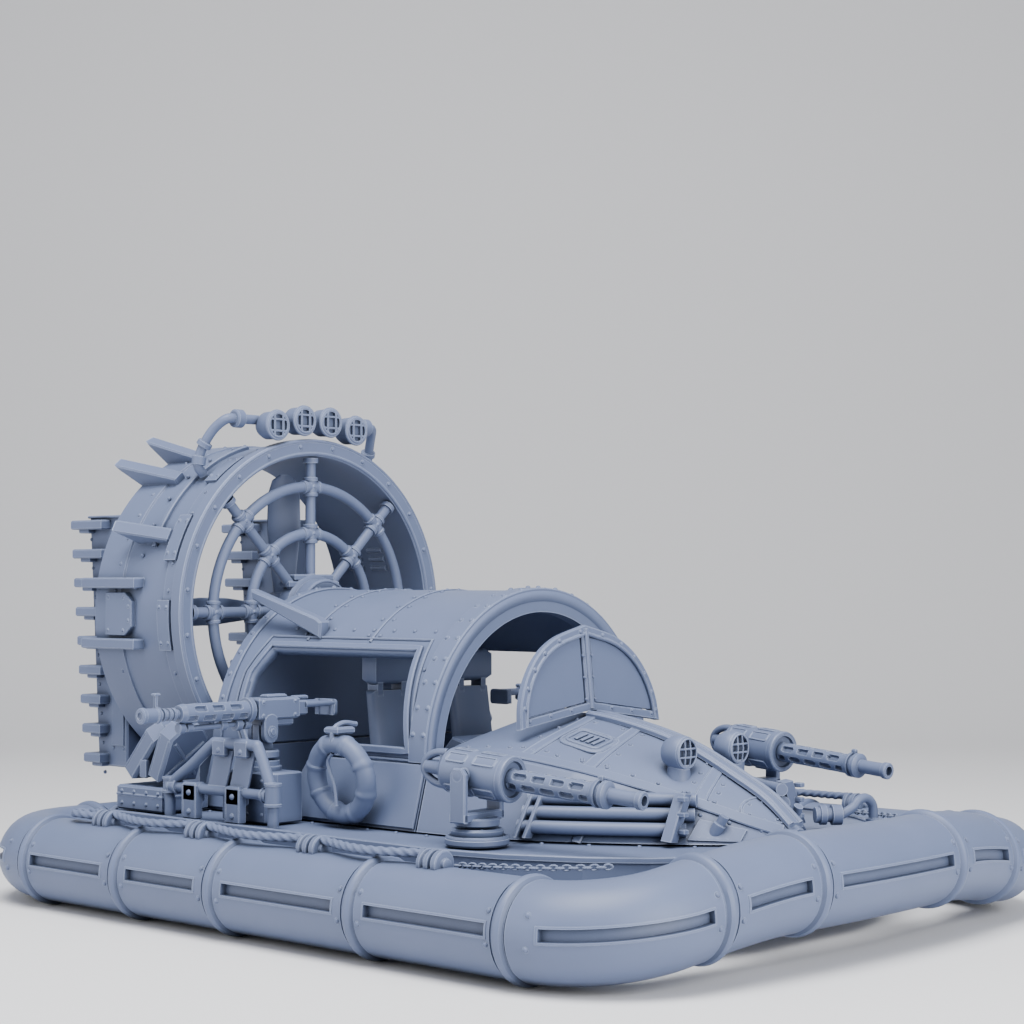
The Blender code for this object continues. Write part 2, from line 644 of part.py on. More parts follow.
def make_front_guns():
    x, y, z = FRONT_GUN_PIVOT
    foot = DECK_TOP + GAP
    base = [turned([(0, 4.6), (1.2, 4.6), (1.2, 3.8), (2.4, 3.8)], (x, -y, foot), (0, 0, 1), 16)]
    both_sides("front_gun_base", base)
    toe = dict(turn=FRONT_GUN_TOE, axis="Z", about=(x, -y, z))
    fork = [(-4.8, 17.6), (4.8, 17.6), (4.8, z + 1.2), (3.8, z + 1.2), (3.8, 19.2), (-3.8, 19.2),
            (-3.8, z + 1.2), (-4.8, z + 1.2)]
    yoke = [turned([(0, 3.2), (1.2, 3.2)], (x, -y, 17.0), (0, 0, 1), 16),
            prism([(a - y, b) for a, b in fork], (x - 1.4, x + 1.4), "x")]
    both_sides("front_gun_yoke", [moved(shape, **toe) for shape in yoke])
    gun = [turned([(-9.5, 0.9), (-6.0, 1.1), (-5.4, 2.4), (-4.6, 3.3), (5.7, 3.3), (5.7, 2.9), (6.5, 2.9)],
                  (x, -y, z), (1, 0, 0), 16),
           turned([(-3.5, 1.1), (3.5, 1.1)], (x, -y, z), (0, 1, 0), 12),
           turned([(6.0, 1.55), (20.4, 1.55), (20.6, 1.95), (22.4, 1.95), (22.6, 1.1), (28.1, 1.1)],
                  (x, -y, z), (1, 0, 0), 10)]
    loop = [(x - 6.0 - 3.5 * math.sin(a), -y, z + 2.3 * math.cos(a)) for a in np.linspace(0, math.pi, 7)]
    gun.append(tube(loop, 0.6, 6))
    gun.append(box((x - 6.6, x - 5.4), (-y - 0.5, -y + 0.5), (z - 2.6, z + 2.6)))
    dip = dict(turn=FRONT_GUN_DIP, axis="Y", about=(x, -y, z))
    both_sides("front_gun", [moved(moved(shape, **dip), **toe) for shape in gun])


# Cans leaning on the deck box: x and z of the foot, height and lean in degrees
CANS = ((-51.0, 20.2, 10.5, 42.0), (-44.5, 19.7, 9.6, 24.0))


def make_stowage():
    """The low deck boxes and the two cans that lean on each."""
    both_sides("deck_box", [box((-53.0, -41.0), (-38.8, -29.2), (DECK_TOP + GAP, 18.4))])
    cans = []
    for x, z, height, lean in CANS:
        can = box((x - 1.8, x + 1.8), (-38.0, -30.0), (z, z + height))
        cans.append(moved(can, turn=math.radians(lean), axis="Y", about=(x, -34.0, z)))
    both_sides("fuel_cans", cans)


# Reels on the skirt's sides, from the stern: x of each middle
REEL_X = (-39.5, -16.8, 8.1, 32.0)
REEL_Z = 14.1
ROPE_Z = STRAP_R + TUBE_Z + GAP + 0.65
# Moulded hose on the port bow deck, from its collar to its free end
BOW_HOSE = ((49.6, 19.4, 16.2), (50.6, 20.9, 17.2), (51.0, 22.0, 18.4), (51.3, 23.6, 18.6), (51.5, 25.0, 17.4),
            (51.5, 25.3, 14.9))


def make_rigging():
    """Reels sunk in the skirt with a moulded rope between them, and the hose on the bow deck."""
    y = -SKIRT_HALF_WIDTH
    add = []
    for x in REEL_X:
        profile = [(-1.9, 1.9), (-1.1, 1.9), (-1.1, 1.3), (1.1, 1.3), (1.1, 1.9), (1.9, 1.9)]
        add.append(turned(profile, (x, y, REEL_Z), (1, 0, 0), 12))
        add.append(turned([(-3.0, 1.2), (3.0, 1.2)], (x, y, ROPE_Z - 0.2), (1, 0, 0), 8))
    for a, b in zip(REEL_X, REEL_X[1:]):
        path = [(a + 2.4 + (b - a - 4.8) * t, y - 0.7 * math.sin(math.pi * t), ROPE_Z) for t in np.linspace(0, 1, 6)]
        add.append(tube(path, 0.6, 6))
    loop = [(REEL_X[0] - 2.4, y + 0.4), (-44.4, y + 1.6), (-46.8, y + 1.0), (-47.4, y - 0.4), (-46.2, y - 1.8),
            (-43.6, y - 1.5), (REEL_X[0] - 2.4, y - 0.4)]
    add.append(tube([(a, b, ROPE_Z) for a, b in loop], 0.6, 6))
    clear = (TUBE_R + GAP) / math.cos(math.pi / TUBE_SIDES)
    bed = turned([(-60.0, clear), (45.0, clear)], (0, y, TUBE_Z), (1, 0, 0), TUBE_SIDES)
    both_sides("rope_reels", add, [bed])

    collar = [(0, 1.1), (0.8, 1.1), (0.8, 1.6), (1.6, 1.6), (1.6, 1.1), (2.6, 1.1), (2.6, 1.6), (4.2, 1.6), (4.2, 1.0)]
    make_object("bow_hose", [turned(collar, (46.9, 16.2, 16.2), (2.7, 3.2, 0), 12), tube(BOW_HOSE, 0.7, 8)])


def main():
    for item in list(bpy.data.objects):
        bpy.data.objects.remove(item)
    make_skirt()
    make_deck()
    make_hull()
    make_canopy()
    make_windscreen()
    make_cab_fittings()
    make_bonnet_fittings()
    make_duct()
    make_guard()
    make_propeller()
    make_rudders()
    make_lamp_bar()
    make_life_rings()
    make_gun_frames()
    make_side_guns()
    make_front_guns()
    make_stowage()
    make_rigging()


main()
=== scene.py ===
"""Looks of the tabletop hovercraft: every piece in cast resin, worked out with numpy.

Laid out as an add-on, run as a script. Lengths are millimetres in the drawing frame: x = 0 is the
middle of the air skirt, +X the bow, +Y port, +Z up. piece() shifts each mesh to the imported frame
and turns it into metres.
"""
import math

import bmesh
import bpy
import numpy as np
from mathutils import Matrix, Vector


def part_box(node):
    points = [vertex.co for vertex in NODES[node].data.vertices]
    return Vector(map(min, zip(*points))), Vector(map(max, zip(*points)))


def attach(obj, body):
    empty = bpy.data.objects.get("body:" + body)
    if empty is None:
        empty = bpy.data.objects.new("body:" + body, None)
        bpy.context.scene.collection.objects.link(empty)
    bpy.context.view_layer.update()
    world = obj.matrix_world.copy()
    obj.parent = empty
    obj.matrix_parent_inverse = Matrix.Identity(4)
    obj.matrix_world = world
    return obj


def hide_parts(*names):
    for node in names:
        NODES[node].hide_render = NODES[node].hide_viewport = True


bl_info = {
    "name": "Hovercraft miniature",
    "version": (1, 0, 0),
    "blender": (4, 5, 0),
    "location": "3D View > Sidebar > Hovercraft",
    "description": "Detailed surfaces and finishes for a tabletop hovercraft miniature",
    "category": "Object",
}

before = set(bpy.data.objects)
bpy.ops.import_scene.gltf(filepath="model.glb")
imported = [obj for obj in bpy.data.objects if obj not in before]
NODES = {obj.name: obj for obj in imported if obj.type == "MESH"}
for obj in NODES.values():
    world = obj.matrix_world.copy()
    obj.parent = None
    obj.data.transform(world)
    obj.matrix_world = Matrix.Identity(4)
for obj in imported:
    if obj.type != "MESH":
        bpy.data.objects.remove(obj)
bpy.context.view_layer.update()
MM = 0.001
TAU = 2 * math.pi

# Driving sizes, shared with the solids
TUBE_R = 6.6
STRAP_R = 7.2
TUBE_Z = STRAP_R
SKIRT_HALF_WIDTH = 50.4
SKIRT_STERN_X = -65.3
STERN_CORNER_X = -54.0
BOW_CORNER_X = 50.3
BOW_CORNER_R = 12.7
BOW_LEAN = math.radians(8.8)
BOW_RISE = 4.0
BOW_RISE_END = 40.7
SIDE_STRAPS = (-54.0, -29.6, -7.4, 21.9, 50.3)
BOW_STRAPS = (-34.8, -16.9, 16.9, 34.8)
STERN_STRAPS = (-34.8, -12.0, 12.0, 34.8)
GAP = 0.3
DECK_TOP = 14.0
FLOOR = DECK_TOP + GAP
CAB_FRONT = 6.1
CAB_REAR = -43.9
TUB_TOP = 24.0
BARREL_Z = 24.3
BARREL_R = 25.8
BARREL_WALL = 1.7
WINDOW_TOP = 40.5
SILL_Z = 26.4
SILL_FRONT = 1.6
SILL_REAR = -16.2
FAN_Z = 46.3
DUCT_FRONT = -47.2
DUCT_REAR = -71.5
DUCT_R = 29.9
DUCT_BORE = 27.4
FLANGE_R = 30.4
GUARD_X = -48.9
GUARD_RINGS = (22.0, 13.7)
PROP_X = -56.0
PROP_R = 24.5
FRONT_GUN = (23.5, 33.3, 24.3)
FRONT_TOE = math.radians(6.6)
FRONT_DIP = math.radians(4.4)
SIDE_GUN = (-22.0, 34.0, 28.2)
BORE_Z = 31.6
RIVET_R = 0.42

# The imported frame's x for the drawing's x = 0, read from the front of the cab tub
ORIGIN_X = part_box("cab_tub")[1].x / MM - CAB_FRONT


def unit(v):
    """Vectors scaled to length one along their last axis."""
    v = np.asarray(v, float)
    return v / np.linalg.norm(v, axis=-1, keepdims=True)


def basis(axis):
    """An axis and two vectors square to it."""
    axis = unit(axis)
    helper = (0, 0, 1) if abs(axis[2]) < 0.9 else (1, 0, 0)
    side = unit(np.cross(helper, axis))
    return axis, side, np.cross(axis, side)


def grid(points, wrap=False, loop=False):
    """Quads between neighbours in an array of rows and columns; wrap joins columns, loop joins rows."""
    rows, columns = points.shape[:2]
    index = np.arange(rows * columns).reshape(rows, columns)
    if wrap:
        index = np.hstack([index, index[:, :1]])
    if loop:
        index = np.vstack([index, index[:1]])
    quads = np.stack([index[:-1, :-1], index[:-1, 1:], index[1:, 1:], index[1:, :-1]], -1)
    return points.reshape(-1, 3), quads.reshape(-1, 4)


def capped(points):
    """The same rows with a row at each end drawn in to its middle, which closes the shape."""
    first = np.broadcast_to(points[:1].mean(1, keepdims=True), points[:1].shape)
    last = np.broadcast_to(points[-1:].mean(1, keepdims=True), points[-1:].shape)
    return np.concatenate([first, points, last])


def lathe(profile, origin, axis, sides=32, start=0.0):
    """P(s, a) = origin + s axis + r(s) (cos a side + sin a up), for pairs of s and r."""
    s, r = np.array(profile, float).T
    axis, side, up = basis(axis)
    a = start + np.arange(sides) / sides * TAU
    ring = np.cos(a)[:, None] * side + np.sin(a)[:, None] * up
    points = np.asarray(origin, float) + s[:, None, None] * axis + r[:, None, None] * ring
    return grid(capped(points), wrap=True)


def hoop(profile, origin, axis, sides=64):
    """A closed profile of pairs of s and r carried round the axis, such as a ring or a flange."""
    s, r = np.array(profile, float).T
    axis, side, up = basis(axis)
    a = np.arange(sides) / sides * TAU
    ring = np.cos(a)[:, None] * side + np.sin(a)[:, None] * up
    points = np.asarray(origin, float) + s[:, None, None] * axis + r[:, None, None] * ring
    return grid(points, wrap=True, loop=True)


def round_bar(radius, bar, count=12):
    """Profile for hoop: a circle of the bar's radius at a distance from the axis."""
    a = np.arange(count) / count * TAU
    return np.column_stack([bar * np.sin(a), radius + bar * np.cos(a)])


def spline(points, count):
    """Evenly timed points on a Catmull-Rom curve through the given ones."""
    points = np.asarray(points, float)
    slope = np.gradient(points, axis=0)
    t = np.linspace(0, len(points) - 1, count)
    i = np.minimum(t.astype(int), len(points) - 2)
    f = (t - i)[:, None]
    p, q, m, n = points[i], points[i + 1], slope[i], slope[i + 1]
    return ((1 + 2 * f) * (1 - f) ** 2 * p + f * (1 - f) ** 2 * m
            + f * f * (3 - 2 * f) * q + f * f * (f - 1) * n)


def hermite(xs, ys, x):
    """Smooth curve through a table of x and y, with the slope at each row taken from its neighbours."""
    xs, ys = np.asarray(xs, float), np.asarray(ys, float)
    slope = np.gradient(ys, xs)
    i = np.clip(np.searchsorted(xs, x) - 1, 0, len(xs) - 2)
    h = xs[i + 1] - xs[i]
    f = np.clip((x - xs[i]) / h, 0, 1)
    return ((1 + 2 * f) * (1 - f) ** 2 * ys[i] + f * (1 - f) ** 2 * h * slope[i]
            + f * f * (3 - 2 * f) * ys[i + 1] + f * f * (f - 1) * h * slope[i + 1])


def carried(path, loop=False):
    """Tangent, side and up at each point of a path, carried along it without twist."""
    path = np.asarray(path, float)
    tangent = np.roll(path, -1, 0) - np.roll(path, 1, 0) if loop else np.gradient(path, axis=0)
    tangent = unit(tangent)
    side = [basis(tangent[0])[1]]
    for t in tangent[1:]:
        side.append(unit(side[-1] - t * np.dot(side[-1], t)))
    side = np.array(side)
    return tangent, side, np.cross(tangent, side)


def tube(path, radius, sides=16, loop=False):
    """P(i, a) = path_i + r_i (cos a side_i + sin a up_i); r may change along the path."""
    path = np.asarray(path, float)
    tangent, side, up = carried(path, loop)
    a = np.arange(sides) / sides * TAU
    r = np.broadcast_to(radius, len(path))[:, None, None]
    points = path[:, None] + r * (np.cos(a)[:, None] * side[:, None] + np.sin(a)[:, None] * up[:, None])
    return grid(points if loop else capped(points), wrap=True, loop=loop)


def strip(path, normal, width, height, bevel=0.15, sink=0.4, loop=False):
    """A flat moulding: its bevelled profile stands on the path along the normals given."""
    path, normal = np.asarray(path, float), np.broadcast_to(unit(normal), np.shape(path))
    tangent = np.roll(path, -1, 0) - np.roll(path, 1, 0) if loop else np.gradient(path, axis=0)
    side = unit(np.cross(normal, tangent))
    w = width / 2
    outline = np.array([(-w, -sink), (-w, height - bevel), (-w + bevel, height), (w - bevel, height),
                        (w, height - bevel), (w, -sink)])
    points = path[:, None] + outline[:, :1] * side[:, None] + outline[:, 1:] * normal[:, None]
    return grid(points if loop else capped(points), wrap=True, loop=loop)


def inset(outline, amount):
    """A closed outline moved inwards, each corner along its two edges' bisector."""
    outline = np.asarray(outline, float)
    before = unit(outline - np.roll(outline, 1, 0))
    after = unit(np.roll(outline, -1, 0) - outline)
    area = np.sum(outline[:, 0] * np.roll(outline[:, 1], -1) - np.roll(outline[:, 0], -1) * outline[:, 1])
    turn = 1 if area > 0 else -1
    n0 = turn * np.column_stack([-before[:, 1], before[:, 0]])
    n1 = turn * np.column_stack([-after[:, 1], after[:, 0]])
    bisector = n0 + n1
    return outline + amount * bisector / np.sum(bisector * n0, axis=1)[:, None]


def slab(outline, height, origin, x_axis, y_axis, bevel=0.2, low=0.0):
    """A plate: the outline at four levels, drawn in by the bevel at the first and the last."""
    outline = np.asarray(outline, float)
    small = inset(outline, bevel)
    x_axis, y_axis = np.asarray(x_axis, float), np.asarray(y_axis, float)
    z_axis = np.cross(x_axis, y_axis)
    levels = ((low, small), (low + bevel, outline), (height - bevel, outline), (height, small))
    points = np.array([o[:, :1] * x_axis + o[:, 1:] * y_axis + z * z_axis for z, o in levels])
    return grid(capped(points + np.asarray(origin, float)), wrap=True)


def block(x, y, z, bevel=0.2):
    """A bevelled box between two values of x, y and z."""
    outline = [(x[0], y[0]), (x[1], y[0]), (x[1], y[1]), (x[0], y[1])]
    return slab(outline, z[1] - z[0], (0, 0, z[0]), (1, 0, 0), (0, 1, 0), bevel)


def rounded(width, height, radius, corner=4):
    """Outline of a rectangle with round corners about the origin."""
    centre = np.array([(1, 1), (-1, 1), (-1, -1), (1, -1)]) * (width / 2 - radius, height / 2 - radius)
    a = np.linspace(0, math.pi / 2, corner)
    arc = radius * np.column_stack([np.cos(a), np.sin(a)])
    turns = [arc, arc[:, ::-1] * (-1, 1), -arc, arc[:, ::-1] * (1, -1)]
    return np.concatenate([c + t for c, t in zip(centre, turns)])


def domes(points, normals, radius=RIVET_R, height=None):
    """Round rivet heads: r = R cos e, up = H sin e over each point, and a short skirt into the surface."""
    points = np.atleast_2d(np.asarray(points, float))
    normals = unit(np.broadcast_to(normals, points.shape))
    height = radius * 0.8 if height is None else height
    helper = np.where(np.abs(normals[:, 2:]) < 0.9, (0.0, 0.0, 1.0), (1.0, 0.0, 0.0))
    side = unit(np.cross(helper, normals))
    up = np.cross(normals, side)
    elevation = np.array([0, 0, 30, 60, 90]) / 180 * math.pi
    rise = np.concatenate([[-0.5 * radius], height * np.sin(elevation[1:])])
    reach = radius * np.cos(elevation)
    a = np.arange(8) / 8 * TAU
    ring = np.cos(a)[None, :, None] * side[:, None] + np.sin(a)[None, :, None] * up[:, None]
    rows = [points[:, None] + rise[0] * normals[:, None] + 0 * ring]
    rows += [points[:, None] + h * normals[:, None] + r * ring for h, r in zip(rise, reach)]
    block_of = np.stack(rows, 1)
    count, levels, sides = block_of.shape[:3]
    faces = grid(block_of[0], wrap=True)[1]
    faces = (faces[None] + (np.arange(count) * levels * sides)[:, None, None]).reshape(-1, 4)
    return block_of.reshape(-1, 3), faces


def surface_frame(surface, u, v, step=0.05):
    """Points of a two-parameter surface and its normals, from differences of nearby points."""
    u, v = np.broadcast_arrays(np.asarray(u, float), np.asarray(v, float))
    here = surface(u, v)
    along = surface(u + step, v) - surface(u - step, v)
    across = surface(u, v + step) - surface(u, v - step)
    return here, unit(np.cross(along, across))


def rivets_on(surface, u, v, radius=RIVET_R):
    points, normals = surface_frame(surface, u, v)
    return domes(points.reshape(-1, 3), normals.reshape(-1, 3), radius)


def strip_on(surface, u, v, width, height, **options):
    points, normals = surface_frame(surface, u, v)
    return strip(points, normals, width, height, **options)


def bead_on(surface, u, v, radius, loop=False):
    """A round bead half sunk in a surface along a line of its two parameters."""
    return tube(surface_frame(surface, u, v)[0], radius, 8, loop)


def plate_on(surface, u, v, height, bevel=0.15, count=(12, 12), sink=0.3):
    """A raised plate: the surface moved out by a height that falls away at the plate's edges."""
    def spread(span, number):
        inner = np.linspace(span[0] + bevel, span[1] - bevel, number)
        at = np.concatenate([[span[0]] * 2, inner, [span[1]] * 2])
        rise = np.concatenate([[-sink, height - bevel], np.full(number, height), [height - bevel, -sink]])
        return at, rise
    (us, ur), (vs, vr) = spread(u, count[0]), spread(v, count[1])
    points, normals = surface_frame(surface, *np.meshgrid(us, vs, indexing="ij"))
    top = points + np.minimum(ur[:, None], vr)[..., None] * normals
    rim = points - 0.6 * normals
    flat, faces = grid(top)
    under, back = grid(rim)
    return np.concatenate([flat, under]), np.concatenate([faces, back[:, ::-1] + len(flat)])


def moved(shape, offset=(0, 0, 0), turn=0.0, axis="z", about=(0, 0, 0)):
    """Turn a shape about a point by an angle round x, y or z, then shift it."""
    i, j = {"x": (1, 2), "y": (2, 0), "z": (0, 1)}[axis]
    verts = shape[0] - about
    c, s = math.cos(turn), math.sin(turn)
    turned = verts.copy()
    turned[:, i] = c * verts[:, i] - s * verts[:, j]
    turned[:, j] = s * verts[:, i] + c * verts[:, j]
    return turned + about + offset, shape[1]


def mirrored(shape):
    """The same shape on the other side of the centre plane."""
    return shape[0] * (1, -1, 1), shape[1][:, ::-1]


def piece(name, shapes, material, body="craft", replaces=(), smooth=32.0):
    """One finished object: the shapes joined, poles merged, normals outwards, riding on its body."""
    starts = np.cumsum([0] + [len(v) for v, f in shapes])
    verts = (np.concatenate([v for v, f in shapes]) + (ORIGIN_X, 0, 0)) * MM
    faces = np.concatenate([f + s for (v, f), s in zip(shapes, starts)])
    mesh = bpy.data.meshes.new(name)
    mesh.vertices.add(len(verts))
    mesh.vertices.foreach_set("co", verts.astype(np.float32).ravel())
    mesh.loops.add(faces.size)
    mesh.loops.foreach_set("vertex_index", faces.astype(np.int32).ravel())
    mesh.polygons.add(len(faces))
    mesh.polygons.foreach_set("loop_start", np.arange(0, faces.size, 4, dtype=np.int32))
    mesh.update(calc_edges=True)
    work = bmesh.new()
    work.from_mesh(mesh)
    bmesh.ops.remove_doubles(work, verts=work.verts, dist=1e-7)
    bmesh.ops.recalc_face_normals(work, faces=work.faces)
    work.to_mesh(mesh)
    work.free()
    mesh.shade_smooth()
    mesh.set_sharp_from_angle(angle=math.radians(smooth))
    item = bpy.data.objects.new(name, mesh)
    bpy.context.scene.collection.objects.link(item)
    mesh.materials.append(material)
    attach(item, body)
    if replaces:
        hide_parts(*replaces)
    return item


def both(name, shapes, material, body="craft", replaces=(), smooth=32.0):
    """The starboard piece as given and its mirror image to port; {} in a name stands for the side."""
    for side in ("starboard", "port"):
        made = shapes if side == "starboard" else [mirrored(s) for s in shapes]
        piece(name + "_" + side, made, material, body.format(side), [r.format(side) for r in replaces], smooth)


def linear(code):
    """An sRGB hex colour as the linear values that shaders take."""
    values = np.array([int(code[i:i + 2], 16) for i in (1, 3, 5)]) / 255
    return (*np.where(values <= 0.04045, values / 12.92, ((values + 0.055) / 1.055) ** 2.4), 1.0)


def add(tree, kind, settings=(), **inputs):
    """Add a shader node, set its properties, and set or link its inputs by name or number."""
    node = tree.nodes.new(kind)
    for key, value in dict(settings).items():
        setattr(node, key, value)
    for key, value in inputs.items():
        socket = node.inputs[int(key[1:])] if key[0] == "_" else node.inputs[key.replace("_", " ")]
        if isinstance(value, bpy.types.NodeSocket):
            tree.links.new(value, socket)
        else:
            socket.default_value = value
    return node


def resin(name, colour, lit, painted_shade_colour, roughness, edge_mm=0.28, highlight_share=0.85, grain_mm=0.16, grain=0.05):
    """Cast resin: a painted highlight pale on its convex edges, painted shade darker in its corners, with a fine
    printed grain.

    The edge mask compares the normal with one rounded over edge_mm; the corner mask is the share
    of nearby surface that shades a point.
    """
    material = bpy.data.materials.new(name)
    material.use_nodes = True
    tree = material.node_tree
    shader = tree.nodes["Principled BSDF"]
    shader.inputs["Roughness"].default_value = roughness
    shader.inputs["IOR"].default_value = 1.48
    shader.inputs["Specular IOR Level"].default_value = 0.4
    place = add(tree, "ShaderNodeTexCoord").outputs["Object"]
    face = add(tree, "ShaderNodeNewGeometry").outputs["Normal"]
    # Painted highlight: convex edges, where the normal bends within edge_mm, take the pale edge colour in place of the
    # light they catch.
    soft = add(tree, "ShaderNodeBevel", {"samples": 6}, Radius=edge_mm * MM).outputs["Normal"]
    match = add(tree, "ShaderNodeVectorMath", {"operation": "DOT_PRODUCT"}, _0=face, _1=soft).outputs["Value"]
    edge = add(tree, "ShaderNodeMapRange", Value=match, From_Min=0.985, From_Max=0.82).outputs["Result"]
    # Painted shade: ambient occlusion darkens corners and recesses towards the dark corner colour, where shade falls.
    near = add(tree, "ShaderNodeAmbientOcclusion", {"samples": 8}, Distance=2.2 * MM).outputs["AO"]
    unshaded_share = add(tree, "ShaderNodeMapRange", Value=near, From_Min=0.25, From_Max=0.85).outputs["Result"]
    outer = add(tree, "ShaderNodeMapRange", Value=near, From_Min=0.45, From_Max=0.8).outputs["Result"]
    # Painted highlight mask: the convex edges that stay open, scaled by the highlight's share.
    highlit = add(tree, "ShaderNodeMath", {"operation": "MULTIPLY"}, _0=edge, _1=outer).outputs["Value"]
    highlit = add(tree, "ShaderNodeMath", {"operation": "MULTIPLY"}, _0=highlit, _1=highlight_share).outputs["Value"]
    cloud = add(tree, "ShaderNodeTexNoise", Vector=place, Scale=1 / (9 * MM), Detail=4.0).outputs["Fac"]
    tone = add(tree, "ShaderNodeMix", {"data_type": "RGBA"}, Factor=cloud)
    tone.inputs[6].default_value = linear(colour)
    tone.inputs[7].default_value = tuple(0.84 * c for c in linear(colour)[:3]) + (1.0,)
    # Painted shade laid into the base colour in corners and recesses.
    shade = add(tree, "ShaderNodeMix", {"data_type": "RGBA"}, Factor=unshaded_share)
    shade.inputs[6].default_value = linear(painted_shade_colour)
    tree.links.new(tone.outputs[2], shade.inputs[7])
    # The painted edge highlight laid over the base colour.
    final = add(tree, "ShaderNodeMix", {"data_type": "RGBA"}, Factor=highlit)
    tree.links.new(shade.outputs[2], final.inputs[6])
    final.inputs[7].default_value = linear(lit)
    tree.links.new(final.outputs[2], shader.inputs["Base Color"])
    fine = add(tree, "ShaderNodeTexNoise", Vector=place, Scale=1 / (grain_mm * MM), Detail=2.0).outputs["Fac"]
    bump = add(tree, "ShaderNodeBump", Height=fine, Strength=grain, Distance=0.05 * MM)
    tree.links.new(bump.outputs["Normal"], shader.inputs["Normal"])
    return material




def along(path):
    """Distance from the start of a path to each of its points."""
    return np.concatenate([[0], np.cumsum(np.linalg.norm(np.diff(path, axis=0), axis=1))])


def polyline(corners, step, loop=True):
    """Points every step along straight edges between corners, with the corners kept."""
    corners = np.asarray(corners, float)
    ends = np.roll(corners, -1, 0) if loop else corners[1:]
    rows = []
    for a, b in zip(corners, ends):
        count = max(1, int(np.linalg.norm(b - a) / step))
        rows.append(a + (b - a) * (np.arange(count) / count)[:, None])
    if not loop:
        rows.append(corners[-1:])
    return np.concatenate(rows)


# Air skirt: slot edges above the tube's middle, how deep it is, and the rivets' two heights
SLOT = (-0.15, 1.45)
SLOT_DEPTH = 0.8
SLOT_MARGIN = 3.2
SLOT_LIP = 0.3
SKIRT_RIVET_Z = (3.0, -1.2)
SKIRT_RIVET_X = 2.0
STRAP_BEAD = 0.75


def skirt_path(half):
    """A skirt path's points with level outward vectors; the ends face straight out to the sides."""
    tangent = np.gradient(half, axis=0)
    out = np.column_stack([tangent[:, 1], -tangent[:, 0], np.zeros(len(half))])
    out = unit(out)
    for end in (0, -1):
        out[end] = (0, np.sign(half[end, 1]), 0)
    return half, out


def skirt_points(path, out, d, a, r):
    """P(d, a) = path(d) + r (cos a out(d) + sin a up)."""
    distance = along(path[:, :2])
    place = np.stack([np.interp(d, distance, path[:, k]) for k in range(3)], -1)
    away = unit(np.stack([np.interp(d, distance, out[:, k]) for k in range(3)], -1))
    normal = np.cos(a)[..., None] * away + np.sin(a)[..., None] * np.array((0, 0, 1.0))
    return place + np.asarray(r)[..., None] * normal, normal


def skirt_tube(path, out, straps, panels):
    """r(d, a) = tube radius + bead at each strap + lip round each slot - depth within the slot."""
    end = along(path[:, :2])[-1]
    ridge = np.array((-1.3, -1.25, -0.95, -0.9, -0.75, -0.6, -0.3, 0, 0.3, 0.6, 0.75, 0.9, 0.95, 1.25, 1.3))
    spans = [(a + SLOT_MARGIN, b - SLOT_MARGIN) for a, b in panels]
    d = [np.linspace(0, end, int(end / 1.3))] + [s + ridge for s in straps]
    for a, b in spans:
        d += [a + np.array((-SLOT_LIP - 0.06, -SLOT_LIP, -0.03, 0.03)), b + np.array((-0.03, 0.03, SLOT_LIP, SLOT_LIP + 0.06))]
    d = np.unique(np.clip(np.concatenate(d), 0, end).round(3))
    low, high = (math.asin(z / TUBE_R) for z in SLOT)
    lip = SLOT_LIP / TUBE_R
    marks = [low - lip - 0.01, low - lip, low - 0.004, low + 0.004, high - 0.004, high + 0.004, high + lip, high + lip + 0.01]
    a = np.unique(np.concatenate([np.linspace(-math.pi, math.pi, 56, endpoint=False), marks]).round(5))
    bead = np.zeros_like(d)
    for s in straps:
        x = np.abs(d - s)
        bead += (STRAP_R - TUBE_R) * np.sqrt(np.clip(1 - (x / STRAP_BEAD) ** 2, 0, 1))
        bead -= 0.18 * ((x > STRAP_BEAD + 0.1) & (x < 1.27))
    inside_d = np.any([(d > p) & (d < q) for p, q in spans], axis=0)
    lip_d = np.any([(d > p - SLOT_LIP - 0.03) & (d < q + SLOT_LIP + 0.03) for p, q in spans], axis=0)
    inside_a = (a > low) & (a < high)
    lip_a = (a > low - lip - 0.005) & (a < high + lip + 0.005)
    r = TUBE_R + bead[:, None] + 0.14 * lip_d[:, None] * lip_a - (SLOT_DEPTH + 0.14) * inside_d[:, None] * inside_a
    points, normal = skirt_points(path, out, *np.meshgrid(d, a, indexing="ij"), r)
    return grid(capped(points), wrap=True)


def skirt_rivets(path, out, straps):
    """Four rivets at each strap, two above the slot's line and two below."""
    d, z = np.meshgrid([s + x for s in straps for x in (-SKIRT_RIVET_X, SKIRT_RIVET_X)], SKIRT_RIVET_Z)
    end = along(path[:, :2])[-1]
    keep = (d > 0.8) & (d < end - 0.8)
    d, a = d[keep], np.arcsin(z[keep] / TUBE_R)
    return domes(*skirt_points(path, out, d, a, np.full(d.shape, TUBE_R)), RIVET_R)


def bow_line(count=25):
    """Corner arc and slightly bowed front, raised towards the centre, from starboard to port."""
    turn = math.pi / 2 - BOW_LEAN
    a = np.linspace(0, turn, count)
    corner = np.column_stack([BOW_CORNER_X + BOW_CORNER_R * np.sin(a), -SKIRT_HALF_WIDTH + BOW_CORNER_R * (1 - np.cos(a))])
    x, y = corner[-1]
    front_r = -y / math.sin(BOW_LEAN)
    b = np.linspace(BOW_LEAN, 0, count)[1:]
    front = np.column_stack([x + front_r * (np.cos(b) - math.cos(BOW_LEAN)), -front_r * np.sin(b)])
    half = np.concatenate([corner, front])
    full = np.concatenate([half, (half[::-1] * (1, -1))[1:]])
    distance = along(full)
    t = np.clip(np.minimum(distance, distance[-1] - distance) / BOW_RISE_END, 0, 1)
    return np.column_stack([full, TUBE_Z + BOW_RISE * (1 - np.cos(math.pi * t)) / 2])


